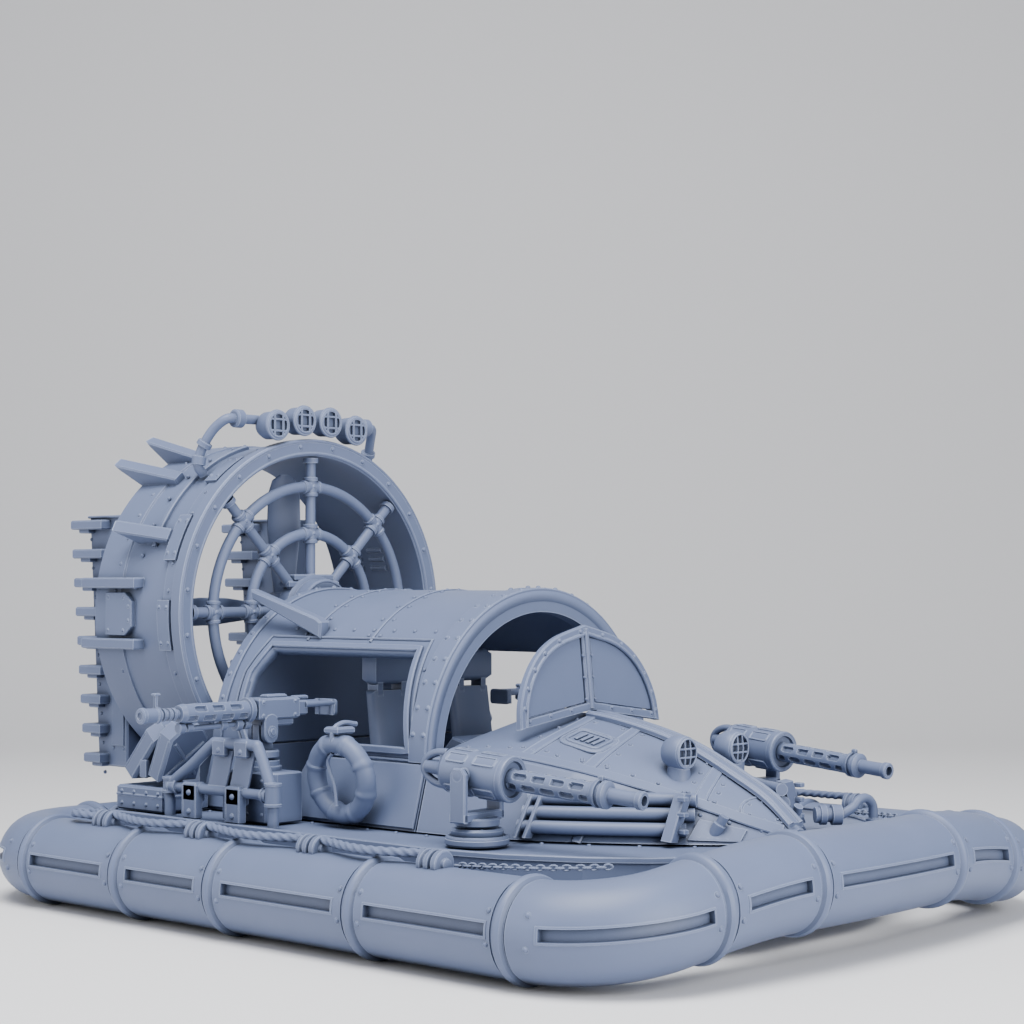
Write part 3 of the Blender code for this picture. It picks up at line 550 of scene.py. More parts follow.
def stern_line(count=17):
    """Two corner arcs and a straight back, from port to starboard."""
    corner = STERN_CORNER_X - SKIRT_STERN_X
    a = np.linspace(0, math.pi / 2, count)
    port = np.column_stack([STERN_CORNER_X - corner * np.sin(a), SKIRT_HALF_WIDTH - corner * (1 - np.cos(a))])
    back = np.column_stack([np.full(9, port[-1, 0]), np.linspace(port[-1, 1], -port[-1, 1], 11)[1:-1]])
    full = np.concatenate([port, back, port[::-1] * (1, -1)])
    return np.column_stack([full, np.full(len(full), TUBE_Z)])


# Half of the deck's outline, from stern to bow: x and half width
DECK_OUTLINE = ((-56.5, 36.0), (-52.0, 40.5), (22.0, 40.5), (33.0, 38.2), (43.2, 33.4), (50.5, 27.8),
                (55.4, 21.5), (57.2, 12.0))

# Hull sections: x, half width at the deck, half width and height of the chine, height of the spine
HULL = np.array(((6.4, 28.4, 25.4, 25.0, 31.0), (16.0, 27.5, 23.0, 25.5, 31.0), (26.0, 24.5, 18.5, 24.0, 29.6),
                 (36.0, 19.5, 13.5, 21.5, 27.0), (45.0, 13.5, 9.0, 18.8, 23.0), (51.0, 8.0, 5.5, 16.8, 19.8),
                 (55.4, 2.4, 1.6, 15.3, 16.2)))


def hull_line(x, column):
    return hermite(HULL[:, 0], HULL[:, column], x)


def hull_side(x, t):
    """P = deck edge to chine on the starboard side, as t goes from 0 to 1."""
    base, chine, top = (hull_line(x, k) for k in (1, 2, 3))
    return np.stack([x, -(base + (chine - base) * t), FLOOR + (top - FLOOR) * t], -1)


def hull_top(x, t):
    """P = chine to spine on the starboard side, as t goes from 0 to 1, slightly crowned."""
    chine, low, spine = (hull_line(x, k) for k in (2, 3, 4))
    return np.stack([x, -chine * (1 - t), low + (spine - low) * t + 0.5 * np.sin(math.pi * t) * (1 - t)], -1)


def barrel(x, a, radius=BARREL_R, height=BARREL_Z):
    """P = (x, -R cos a, Z + R sin a): a runs from the starboard side over the top."""
    x, a = np.broadcast_arrays(x, a)
    return np.stack([x, -radius * np.cos(a), height + radius * np.sin(a)], -1)


def duct_wall(x, a, radius=DUCT_R):
    return barrel(x, a, radius, FAN_Z)


def at_height(z):
    """Angle on the roof's barrel at a height."""
    return np.arcsin((np.asarray(z, float) - BARREL_Z) / BARREL_R)


# Window edges on the barrel: pairs of x and z, the rear one from low to high
WINDOW_REAR = ((-34.0, 24.3), (-36.4, 28.0), (-37.4, 32.0), (-37.6, 36.6), (-35.6, 40.5))
WINDOW_FRONT = ((1.6, 26.4), (-2.0, 40.5))
SILL_SLANT = 3.4


def canopy_shell():
    """The barrel as patches round the two windows, which share the rows where they meet."""
    top = float(at_height(WINDOW_TOP))
    sill = float(at_height(SILL_Z))
    rear_x, rear_z = np.array(WINDOW_REAR).T
    front_x, front_z = np.array(WINDOW_FRONT).T
    low = np.linspace(0, sill, 4)
    side = np.concatenate([low, np.linspace(sill, top, 16)[1:]])
    height = BARREL_Z + BARREL_R * np.sin(side)
    t = np.linspace(0, 1, 6)
    rear = CAB_REAR + (np.interp(height, rear_z, rear_x) - CAB_REAR)[:, None] * t
    edge = np.interp(height, front_z, front_x)
    front = edge[:, None] + (CAB_FRONT - edge)[:, None] * t
    ledge = SILL_REAR - SILL_SLANT * (1 - low / sill)
    ledge = ledge[:, None] + (SILL_FRONT - ledge)[:, None] * np.linspace(0, 1, 14)
    over = np.concatenate([rear[-1], np.linspace(rear[-1, -1], front[-1, 0], 26)[1:-1], front[-1]])
    roof = np.linspace(top, math.pi - top, 48)
    shapes = [grid(barrel(over[None], roof[:, None]))]
    for x, a in ((rear, side), (front, side), (ledge, low)):
        patch = grid(barrel(x, a[:, None]))
        shapes += [patch, mirrored(patch)]
    return shapes


def window_line(offset=0.0):
    """The starboard window's outline as x and z, grown by an offset."""
    sill = SILL_Z - offset
    points = [(x - offset, z) for x, z in WINDOW_REAR[:-1]] + [(WINDOW_REAR[-1][0] - offset, WINDOW_TOP + offset)]
    points += [(WINDOW_FRONT[1][0] + offset, WINDOW_TOP + offset), (SILL_FRONT + offset, sill), (SILL_REAR + offset, sill)]
    return np.array(points + [(SILL_REAR + offset - SILL_SLANT, BARREL_Z)])


def make_skirt(finish):
    side = np.array([(x, -SKIRT_HALF_WIDTH, TUBE_Z) for x in (STERN_CORNER_X, BOW_CORNER_X)])
    out = np.array([(0, -1.0, 0)] * 2)
    marks = [x - STERN_CORNER_X for x in SIDE_STRAPS]
    straps = [marks[0] + 1.0] + marks[1:-1] + [marks[-1] - 1.0]
    made = [skirt_tube(side, out, straps, list(zip(marks, marks[1:]))), skirt_rivets(side, out, straps)]
    both("skirt_side", made, finish, replaces=("skirt_{}",))
    for name, line, where in (("skirt_bow", bow_line(), BOW_STRAPS), ("skirt_stern", stern_line(), STERN_STRAPS)):
        path, out = skirt_path(line)
        for end in (0, -1):
            path[end, 0] += GAP if name == "skirt_bow" else -GAP
        distance = along(path[:, :2])
        flat = np.argsort(path[:, 1])
        straps = sorted(float(np.interp(y, path[flat, 1], distance[flat])) for y in where)
        marks = [0.0] + straps + [distance[-1]]
        shapes = [skirt_tube(path, out, straps, list(zip(marks, marks[1:]))), skirt_rivets(path, out, straps)]
        corner = [skirt_rivets(path, out, [0.0, distance[-1]])]
        piece(name + "_tube", shapes + corner, finish, replaces=(name,))


def make_deck(finish):
    """Lip along the deck's edge and the rivets beside the hull."""
    half = np.array([(x, -y, DECK_TOP) for x, y in DECK_OUTLINE])
    line = polyline(half, 3.0, loop=False)
    lip = strip(line, (0, 0, 1), 0.9, 0.35, bevel=0.12)
    x = np.arange(-40.0, 52.0, 6.2)
    base = np.where(x < 6.4, 28.4, hull_line(x, 1))
    rivets = domes(np.column_stack([x, -base - 1.3, np.full(len(x), DECK_TOP)]), (0, 0, 1), 0.36)
    both("deck_edge", [lip, rivets], finish)


def make_hull(finish):
    x = np.linspace(6.4, 55.4, 70)[:, None]
    t = np.linspace(0, 1, 14)[None]
    side = hull_side(*np.broadcast_arrays(x, t))
    top = hull_top(*np.broadcast_arrays(x, t))
    half = np.concatenate([side, top[:, 1:]], axis=1)
    ring = np.concatenate([half, (half * (1, -1, 1))[:, ::-1][:, 1:]], axis=1)
    made = [grid(capped(ring), wrap=True)]
    spine = np.linspace(16.8, 54.8, 60)
    for offset in (-1.1, 1.1):
        path = np.column_stack([spine, np.full(60, offset), hull_line(spine, 4) + 0.15])
        made.append(tube(path, 0.5, 10))
    path = np.column_stack([spine, np.zeros(60), hull_line(spine, 4)])
    made.append(strip(path, (0, 0, 1), 3.6, 0.35))
    half = []
    x = np.linspace(7.0, 54.2, 50)
    half.append(strip_on(hull_top, x, np.full(50, 0.075), 1.9, 0.4))
    half.append(rivets_on(hull_top, np.arange(9.0, 53.0, 3.6), 0.19, 0.36))
    half.append(rivets_on(hull_side, np.arange(9.0, 53.0, 3.6), 0.86, 0.36))
    for at in (17.6, 26.4, 41.6):
        t = np.linspace(0.1, 0.93, 14)
        xs = at + 2.6 * (1 - t)
        for shift in (-0.7, 0.7):
            half.append(bead_on(hull_top, xs + shift, t, 0.24))
        half.append(strip_on(hull_top, xs, t, 1.5, 0.22))
        t = np.linspace(0.22, 0.86, 4)
        for shift in (-1.8, 1.8):
            half.append(rivets_on(hull_top, at + 2.6 * (1 - t) + shift, t, 0.36))
    half += hatch()
    half += bow_vent()
    made += half + [mirrored(s) for s in half]
    piece("bonnet_plating", made, finish, replaces=("bonnet",))


def hatch():
    """Round-cornered cover with four raised bars, on the bonnet's starboard top."""
    outline = rounded(7.6, 6.2, 1.6)
    centre, normal = surface_frame(hull_top, 23.9, 0.52)
    x_axis = surface_frame(hull_top, 24.9, 0.52)[0] - centre
    x_axis = unit(x_axis - normal * np.dot(x_axis, normal))
    y_axis = np.cross(normal, x_axis)
    c, s = math.cos(-0.14), math.sin(-0.14)
    x_axis, y_axis = c * x_axis + s * y_axis, c * y_axis - s * x_axis
    made = []
    for size, height in ((outline, 0.42), (inset(outline, 0.9), 0.62)):
        ring = np.vstack([size, size[:1]])
        path = centre + size[:, :1] * x_axis + size[:, 1:] * y_axis + (height - 0.35) * normal
        made.append(tube(path, 0.26, 8, loop=True))
    made.append(slab(inset(outline, 0.2), 0.5, centre - 0.25 * normal, x_axis, y_axis, 0.15))
    for k in range(4):
        shift = centre + (k - 1.5) * 1.05 * x_axis + 0.2 * normal
        bar = [(-0.28, -1.3), (0.28, -1.3), (0.48, 1.3), (-0.08, 1.3)]
        made.append(slab(bar, 0.42, shift, x_axis, y_axis, 0.12))
    return made


def bow_vent():
    """Sunk panel with upright bars low on the hull's side, and the oval plate at the bow's tip."""
    made = [plate_on(hull_side, (45.2, 50.8), (0.1, 0.72), 0.35, bevel=0.03)]
    for x in np.arange(46.2, 50.2, 1.05):
        made.append(bead_on(hull_side, np.full(5, x), np.linspace(0.2, 0.6, 5), 0.34))
    oval = np.array([(51.0 + 2.6 * math.cos(a), 0.5 + 0.42 * math.sin(a)) for a in np.linspace(0, TAU, 24, endpoint=False)])
    made.append(bead_on(hull_top, oval[:, 0], oval[:, 1], 0.22, loop=True))
    made.append(rivets_on(hull_top, oval[::4, 0] * 0.75 + 51.0 * 0.25, oval[::4, 1] * 0.7 + 0.15, 0.28))
    return made


def tub_wall(x, z):
    """P on the tub's starboard side, which leans in from the deck to the barrel."""
    x, z = np.broadcast_arrays(x, z)
    t = (z - FLOOR) / (TUB_TOP - FLOOR)
    return np.stack([x, -(HULL[0, 1] + (BARREL_R - HULL[0, 1]) * t), z], -1)


def make_tub(finish):
    """Raised side plates, seams and rivets over the tub's walls; the solid shows between them."""
    low, normal = surface_frame(tub_wall, -14.0, FLOOR)
    x_axis = np.array((1.0, 0, 0))
    y_axis = np.cross(normal, x_axis)
    rise = (TUB_TOP - FLOOR) / y_axis[2]
    origin = low - (low[0], 0, 0)
    front = [(-20.4, 0.3), (CAB_FRONT - 0.2, 0.3), (CAB_FRONT - 0.2, rise), (-19.6, rise), (-21.4, rise - 3.6)]
    rear = [(CAB_REAR + 0.3, 0.3), (-36.0, 0.3), (-34.4, 3.0), (-34.4, rise), (CAB_REAR + 0.3, rise)]
    made = [slab(o, 0.45, origin, x_axis, y_axis, 0.14) for o in (front, rear)]
    for x in (-17.8, -12.0, -6.0, 0.0, 4.6):
        made.append(rivets_on(tub_wall, x, 15.6, 0.38))
        made.append(rivets_on(tub_wall, x, 22.7, 0.38))
    both("tub_side", [moved(s) for s in made], finish)


def make_canopy(finish):
    shell = piece("canopy_roof", canopy_shell(), finish, replaces=("canopy",))
    wall = shell.modifiers.new("wall", "SOLIDIFY")
    wall.thickness = BARREL_WALL * MM
    wall.offset = -1
    made = []
    a = np.linspace(0.0, math.pi, 90)
    arch = [(CAB_FRONT - 2.4, 22.4), (CAB_FRONT - 2.4, BARREL_R - 0.8), (CAB_FRONT - 0.05, BARREL_R - 0.8),
            (CAB_FRONT - 0.05, 22.4)]
    points = np.stack([barrel(np.full(90, x), a, r) for x, r in arch], 1)
    made.append(grid(capped(points), wrap=True))
    made.append(strip_on(barrel, np.full(90, CAB_FRONT - 1.95), a, 3.7, 0.45))
    made.append(strip_on(barrel, np.full(90, CAB_REAR + 1.2), a, 2.2, 0.4))
    for x in (CAB_FRONT - 0.8, CAB_FRONT - 3.0):
        made.append(rivets_lifted(barrel, x, np.radians(np.arange(9.0, 176.0, 9.0)), 0.45))
    made.append(rivets_lifted(barrel, CAB_REAR + 1.2, np.radians(np.arange(9.0, 176.0, 9.0)), 0.4))
    for x in (-28.4, -13.6):
        b = np.linspace(math.radians(43), math.radians(137), 60)
        made.append(strip_on(barrel, np.full(60, x), b, 0.5, 0.22, bevel=0.1))
        for shift in (-1.3, 1.3):
            made.append(rivets_on(barrel, x + shift, np.radians(np.arange(46.0, 136.0, 8.8)), 0.38))
    made += [s for shape in window_trim() for s in (shape, mirrored(shape))]
    for side in (-1, 1):
        outline = [(-42.4, 48.6), (-25.4, 42.2), (-25.2, 44.9), (-26.4, 45.6), (-42.7, 50.2)]
        made.append(slab(outline, 2.2, (0, side * 18.0 + 1.1, 0), (1, 0, 0), (0, 0, 1), 0.3))
    piece("canopy_trim", made, finish)
    back = np.concatenate([barrel(CAB_REAR + 1.0, np.linspace(0, math.pi, 48), BARREL_R - BARREL_WALL - GAP)[:, 1:]])
    rim = slab(back, 1.5, (CAB_REAR + 0.3, 0, 0), (0, 1, 0), (0, 0, 1), 0.2)
    piece("cab_back", [rim], finish, replaces=("rear_bulkhead",))


def rivets_lifted(surface, u, v, height, radius=RIVET_R):
    """Rivets on top of a moulding of the given height."""
    points, normals = surface_frame(surface, u, v)
    return domes((points + height * normals).reshape(-1, 3), normals.reshape(-1, 3), radius)


def window_trim():
    """Flat frame and outer bead round the window, and rivets beside it."""
    made = []
    for offset, width, height in ((0.55, 1.1, 0.5), (1.9, 0.45, 0.3)):
        line = polyline(window_line(offset), 1.2, loop=False)
        made.append(strip_on(barrel, line[:, 0], at_height(np.maximum(line[:, 1], BARREL_Z)), width, height))
    for x in np.arange(-33.0, 0.0, 4.6):
        made.append(rivets_on(barrel, x, at_height(WINDOW_TOP + 3.2), 0.38))
    for z in (27.5, 31.0, 34.5, 38.0):
        made.append(rivets_on(barrel, np.interp(z, (26.4, 40.5), (1.6, -2.0)) + 2.9, at_height(z), 0.36))
    return made


# Half of the windscreen's pointed arch, from foot to tip: half width and height above the foot
WINDSCREEN = ((16.6, 0.0), (16.1, 3.8), (14.4, 7.7), (11.4, 11.2), (6.9, 13.8), (0.0, 15.6))
SCREEN_FOOT = (16.2, 29.2)
SCREEN_RISE = 2.2
SCREEN_LEAN = math.radians(-5.9)


def make_windscreen(finish, pane_finish):
    x, z = SCREEN_FOOT
    half = spline(WINDSCREEN, 26)
    half[0], half[-1] = WINDSCREEN[0], WINDSCREEN[-1]
    arch = np.concatenate([half, (half[::-1] * (-1, 1))[1:]])
    path = np.column_stack([np.full(len(arch), x), arch[:, 0], arch[:, 1] + z])
    normal = unit(path - (x, 0, z + 4.0))
    toward = path - 0.8 * normal
    made = [strip(toward, normal, 1.25, 0.8, bevel=0.2, sink=0.8)]
    for shift in (-0.62, 0.62):
        made.append(tube(toward + (shift, 0, 0) - 0.5 * normal, 0.27, 8))
    foot = np.column_stack([np.full(21, x), np.linspace(-16.2, 16.2, 21), z + SCREEN_RISE * (1 - np.abs(np.linspace(-1, 1, 21)))])
    made.append(strip(foot + (0, 0, 0.9), (0, 0, 1), 1.2, 0.45, sink=0.75))
    rib = np.array([(x, 0, z + SCREEN_RISE + 0.4), (x, 0, z + 15.0)])
    made.append(tube(np.linspace(*rib, 4) + (0.45, 0, 0), 0.5, 10))
    made.append(strip(np.linspace(*rib, 4), (1, 0, 0), 1.9, 0.5, sink=0.5))
    front = toward[2:-2:4] + (0.62, 0, 0)
    made.append(domes(front, (1, 0, 0), 0.36))
    made.append(domes([(x + 0.5, s * 1.0, z + h) for s in (-1, 1) for h in (4.0, 7.4, 10.8)], (1, 0, 0), 0.3))
    made.append(domes(foot[1:-1:3] + (0.6, 0, 0.9), (1, 0, 0), 0.33))
    lean = dict(turn=SCREEN_LEAN, axis="y", about=(x, 0, z))
    piece("windscreen_surround", [moved(s, **lean) for s in made], finish, replaces=("windscreen_frame",))
    inner = half - 1.55 * normal[:len(half), 1:]
    inner = inner[(inner[:, 0] > 1.3) & (inner[:, 1] > 1.7)]
    foot_y = SCREEN_RISE * (1 - np.array((1.2, inner[0, 0])) / WINDSCREEN[0][0]) + 1.5
    outline = np.concatenate([[(1.2, foot_y[0]), (inner[0, 0], foot_y[1])], inner[1:], [(1.2, inner[-1, 1] + 0.2)]])
    panes = slab(outline * (-1, 1), 0.5, (x - 0.25, 0, z), (0, 1, 0), (0, 0, 1), 0.1)
    both("windscreen_sheet", [moved(panes, **lean)], pane_finish, replaces=("windscreen_pane_{}",))


# Fins on the duct's rear: angle above the horizontal, front and rear of the root, x of the tip
FINS = ((64.0, -63.5, -71.2, -75.5), (50.5, -61.5, -71.2, -75.8), (25.5, -53.7, -62.5, -64.5))
LEDGE_Z = (40.9, 51.3)


def make_duct(finish):
    """Turned wall with a raised rear band, rim beads, riveted patches, fins, ledges and the foot."""
    profile = [(DUCT_REAR, DUCT_BORE), (DUCT_REAR, DUCT_R - 0.3), (DUCT_REAR + 0.3, DUCT_R), (-64.2, DUCT_R),
               (-64.0, DUCT_R - 0.35), (-52.6, DUCT_R - 0.35), (-52.4, DUCT_R), (-50.1, DUCT_R),
               (-49.9, FLANGE_R - 0.25), (-49.6, FLANGE_R), (DUCT_FRONT - 0.35, FLANGE_R), (DUCT_FRONT - 0.08, FLANGE_R - 0.3),
               (DUCT_FRONT - 0.08, DUCT_BORE + 0.4), (DUCT_FRONT - 0.5, DUCT_BORE), (-58.0, DUCT_BORE)]
    made = [hoop([(s - 0, r) for s, r in profile], (0, 0, FAN_Z), (1, 0, 0), 128)]
    for x, r, bar in ((DUCT_FRONT - 0.25, FLANGE_R - 0.35, 0.3), (DUCT_FRONT - 0.3, DUCT_BORE + 0.45, 0.3)):
        made.append(hoop(round_bar(r, bar, 10), (x, 0, FAN_Z), (1, 0, 0), 128))
    a = np.radians(np.arange(7.5, 360, 15.0))
    face = barrel(np.full(len(a), DUCT_FRONT - 0.05), a, 29.0, FAN_Z)
    made.append(domes(face, (1, 0, 0), 0.42))
    a = np.radians(np.concatenate([np.arange(-20, 200, 9.0)]))
    made.append(rivets_on(duct_wall, -51.2, a, 0.36))
    made.append(rivets_on(duct_wall, -65.6, a, 0.36))
    for side in (1, -1):
        half = []
        for low, high in ((-12, 4), (17, 33), (48, 62)):
            low, high = math.radians(low), math.radians(high)
            half.append(plate_on(duct_wall, (-53.4, -50.3), (low, high), 0.5, bevel=0.012, count=(6, 14)))
            corners = np.array([(x, b) for x in (-52.8, -50.9) for b in (low + 0.04, high - 0.04)])
            half.append(rivets_lifted(duct_wall, corners[:, 0], corners[:, 1], 0.5, 0.36))
        a = np.radians(np.linspace(22, 76, 40))
        half.append(strip_on(duct_wall, np.full(40, -57.6), a, 0.9, 0.35))
        half.append(rivets_on(duct_wall, -60.2, np.radians(np.arange(8, 76, 11)), 0.36))
        edge = [(0, -4.2), (5.4, -4.2), (7.2, -2.6), (7.2, 1.6), (5.4, 3.2), (0, 3.2)]
        half.append(slab(edge, 0.9, (-67.6, -DUCT_R + 0.35, FAN_Z + 0.2), (1, 0, 0), (0, 0, 1), 0.15, low=-0.6))
        spots = [(-66.8, -3.3), (-62.6, -3.3), (-66.8, 2.3), (-62.6, 2.3), (-61.2, -1.6), (-61.2, 0.8)]
        half.append(domes([(x, -DUCT_R - 0.5, FAN_Z + 0.2 + z) for x, z in spots], (0, -1, 0), 0.32))
        for angle, front, rear, tip in FINS:
            b = math.radians(angle)
            out = np.array([0, -math.cos(b), math.sin(b)])
            outline = [(rear, -0.7), (front, -0.7), (front + 0.2, 0.9), (tip, 4.55), (tip + 0.8, 3.3)]
            across = np.cross((1, 0, 0), out)
            half.append(slab(outline, 2.3, np.array((0, 0, FAN_Z)) + DUCT_R * out - 1.15 * across, (1, 0, 0), out, 0.25))
        for z in LEDGE_Z:
            edge = math.sqrt(DUCT_R ** 2 - (z - FAN_Z) ** 2)
            outline = [(-71.0, -edge + 0.9), (-58.6, -edge + 0.9), (-58.6, -31.3), (-73.3, -31.3), (-73.3, -29.1)]
            half.append(slab(outline, 1.8, (0, 0, z - 0.9), (1, 0, 0), (0, 1, 0), 0.22))
        made += half if side == 1 else [mirrored(s) for s in half]
    a = np.linspace(math.radians(225), math.radians(315), 40)
    low = [(24.0, FLOOR), (20.6, 29.0)]
    arc = np.column_stack([27.8 * np.cos(a), FAN_Z + 27.8 * np.sin(a)])
    foot = np.concatenate([[(-24.0, FLOOR), (-24.0, 20.5)], arc[2:-2], [(24.0, 20.5), (24.0, FLOOR)]])
    made.append(foot_block(foot, (-57.0, -49.8)))
    made.append(domes([(-49.8, y, 17.0) for y in np.arange(-21.0, 22.0, 6.0)], (1, 0, 0), 0.36))
    for angle in (-30, -12, 6, 24):
        b = math.radians(180 - angle)
        for x in (-66.5, -60.5):
            for lift in (0.0, 0.065, 0.13):
                ends = barrel(np.linspace(x, x + 3.8, 4), np.full(4, b + lift), DUCT_BORE, FAN_Z)
                made.append(strip(ends, (0, -1, 0.2), 0.9, 0.45, bevel=0.3))
    piece("duct_cowl", made, finish, replaces=("duct",))


def foot_block(outline, span):
    """The duct's foot: an outline in y and z carried along x, closed by strips between its halves."""
    outline = np.asarray(outline, float)
    half = len(outline) // 2
    left, right = outline[:half], outline[::-1][:half]
    points = np.stack([left, right], 1)
    rows = [np.concatenate([np.full((half, 2, 1), x), points], 2) for x in span]
    shapes = [grid(rows[0]), grid(rows[1][:, ::-1])]
    ring = np.concatenate([left, right[::-1]])
    side = np.array([np.column_stack([np.full(len(ring), x), ring]) for x in span])
    shapes.append(grid(side, wrap=True))
    starts = np.cumsum([0] + [len(v) for v, f in shapes])
    return np.concatenate([v for v, f in shapes]), np.concatenate([f + s for (v, f), s in zip(shapes, starts)])


def make_guard(finish):
    centre = np.array((GUARD_X, 0, FAN_Z))
    made = [hoop(round_bar(r, 0.95, 14), centre, (1, 0, 0), 96) for r in GUARD_RINGS]
    for k in range(8):
        b = k * math.pi / 4
        out = np.array((0, math.cos(b), math.sin(b)))
        turn = np.array((0, -math.sin(b), math.cos(b)))
        made.append(lathe([(5.0, 0.9), (26.2, 0.9), (26.2, 1.35), (27.05, 1.35)], centre, out, 16))
        for r in GUARD_RINGS:
            made.append(lathe([(r - 1.7, 1.2), (r - 1.6, 1.3), (r - 1.1, 1.3), (r - 1.05, 1.12), (r + 1.05, 1.12),
                               (r + 1.1, 1.3), (r + 1.6, 1.3), (r + 1.7, 1.2)], centre, out, 18))
            for s in (-1, 1):
                start = centre + r * out
                made.append(lathe([(0, 1.1), (1.3, 1.1), (1.4, 1.22), (1.8, 1.22), (1.9, 1.1)], start, s * turn - 0.06 * out, 16))
            made.append(domes(centre + r * out + (1.0, 0, 0), (1, 0, 0), 0.4))
    made.append(lathe([(-1.5, 5.6), (-1.3, 6.5), (1.0, 6.5), (1.2, 6.2), (1.4, 5.6), (4.1, 5.6), (4.35, 5.3)], centre, (1, 0, 0), 48))
    made.append(hoop(round_bar(5.3, 0.35, 10), centre + (4.1, 0, 0), (1, 0, 0), 48))
    made.append(lathe([(4.0, 3.1), (4.3, 2.9)], centre, (1, 0, 0), 24))
    b = np.radians(np.arange(0, 360, 45) + 22.5)
    made.append(domes(np.column_stack([np.full(8, GUARD_X + 4.35), 4.2 * np.cos(b), FAN_Z + 4.2 * np.sin(b)]), (1, 0, 0), 0.36))
    for level, (half, low) in enumerate(((5.9, 4.2), (4.6, 5.4))):
        made.append(block((GUARD_X - 1.4, GUARD_X + 1.1), (-half, half), (FAN_Z + low, FAN_Z + low + 1.1), 0.2))
    piece("guard_cage", made, finish, replaces=("duct_guard",))


def blade(pitch, r, thick=0.5):
    """Cross-section of a blade at a radius: an ellipse pointed at its edges, turned to its pitch."""
    a = np.linspace(0, TAU, 20, endpoint=False)
    chord = np.interp(r, (1.5, 6.0, 15.0, 21.0, 23.6, 24.4), (3.2, 4.4, 6.0, 5.8, 4.2, 1.6))
    u = chord / 2 * np.cos(a)
    w = thick * np.sin(a) * (1 - 0.4 * np.cos(a))
    return np.column_stack([u * math.sin(pitch) + w * math.cos(pitch), u * math.cos(pitch) - w * math.sin(pitch),
                            np.full(len(a), r)])


def make_propeller(finish):
    centre = np.array((PROP_X, 0, FAN_Z))
    made = [lathe([(-4.2, 0.6), (-3.9, 1.8), (-3.0, 3.1), (-2.7, 3.3), (2.4, 3.5), (2.8, 3.3), (4.2, 2.4), (4.5, 1.4)], centre, (1, 0, 0), 32)]
    for k in range(4):
        r = np.linspace(1.5, PROP_R - 0.1, 24)
        pitch = np.radians(np.interp(r, (1.5, 6, 14, 24.5), (62, 52, 38, 27)))
        rows = np.array([blade(p, q) for p, q in zip(pitch, r)])
        made.append(moved(grid(capped(rows), wrap=True), centre, k * math.pi / 2, "x"))
    piece("propeller_blades", made, finish, "propeller", ("propeller",))


RUDDER_Y = (12.9, 22.1)
SLATS = 9
SLAT_Z = (20.2, 61.7)
SLAT_BACK = (-82.0, -86.4)


def make_rudders(finish):
    outline = [(-72.25, 18.7), (-72.25, 63.2), (-83.7, 63.2), (-80.5, 18.7)]
    made = [slab(outline, RUDDER_Y[1] - RUDDER_Y[0], (0, -RUDDER_Y[0], 0), (1, 0, 0), (0, 0, 1), 0.3)]
    z = np.linspace(*SLAT_Z, SLATS)
    back = np.linspace(*SLAT_BACK, SLATS)
    for low, x in zip(z, back):
        made.append(block((x + 0.05, -77.3), (-24.3, -10.7), (low - 0.83, low + 0.83), 0.22))
        made.append(block((x + 1.6, x + 4.4), (-23.6, -11.4), (low - 1.5, low - 0.7), 0.15))
        made.append(domes([(x + 3.4, -RUDDER_Y[1] - 0.02, low - 2.6)], (0, -1, 0), 0.34))
        made.append(domes([(x + 3.4, -RUDDER_Y[0] + 0.02, low - 2.6)], (0, 1, 0), 0.34))
    made.append(block((-83.6, -73.0), (-22.6, -12.4), (62.9, 63.35), 0.12))
    made.append(domes([(x, y, 63.3) for x in (-82.0, -78.4, -74.8) for y in (-21.4, -13.6)], (0, 0, 1), 0.3, 0.1))
    for x in (-76.0, -73.2):
        made.append(domes([(x, -RUDDER_Y[1] - 0.02, h) for h in np.arange(22.0, 62.0, 6.2)], (0, -1, 0), 0.34))
    plate = [(-76.4, 22.5), (-73.0, 22.5), (-73.0, 59.0), (-76.4, 59.0)]
    made.append(slab(plate, 0.35, (0, -RUDDER_Y[1] + 0.05, 0), (1, 0, 0), (0, 0, 1), 0.1, low=-0.2))
    both("rudder_stack", made, finish, replaces=("rudder_{}",))


# Half of the lamp bar, from its foot on the duct to the straight top; lamps' y and z
LAMP_BAR = ((-55.5, -18.85, 70.02), (-55.5, -20.1, 71.6), (-54.9, -19.7, 74.4), (-53.2, -18.7, 77.6),
            (-51.4, -17.3, 79.5), (-51.0, -15.4, 79.7))
LAMPS = ((-9.3, 78.7), (-3.1, 79.8), (3.1, 79.8), (9.3, 78.7))


def lamp(x, y, z, radius):
    """Round lamp with a rim and a sunk face; returns its pieces. make_lamp_bar adds the grille bars over it."""
    made = [lathe([(-1.8, radius * 0.55), (-1.4, radius * 0.75), (-0.4, radius * 0.96), (2.3, radius), (2.6, radius - 0.1),
                   (2.75, radius - 0.35), (2.7, radius - 0.6), (2.2, radius - 0.62)], (x, y, z), (1, 0, 0), 36)]
    made.append(hoop(round_bar(radius - 0.05, 0.28, 10), (x + 2.3, y, z), (1, 0, 0), 36))
    return made


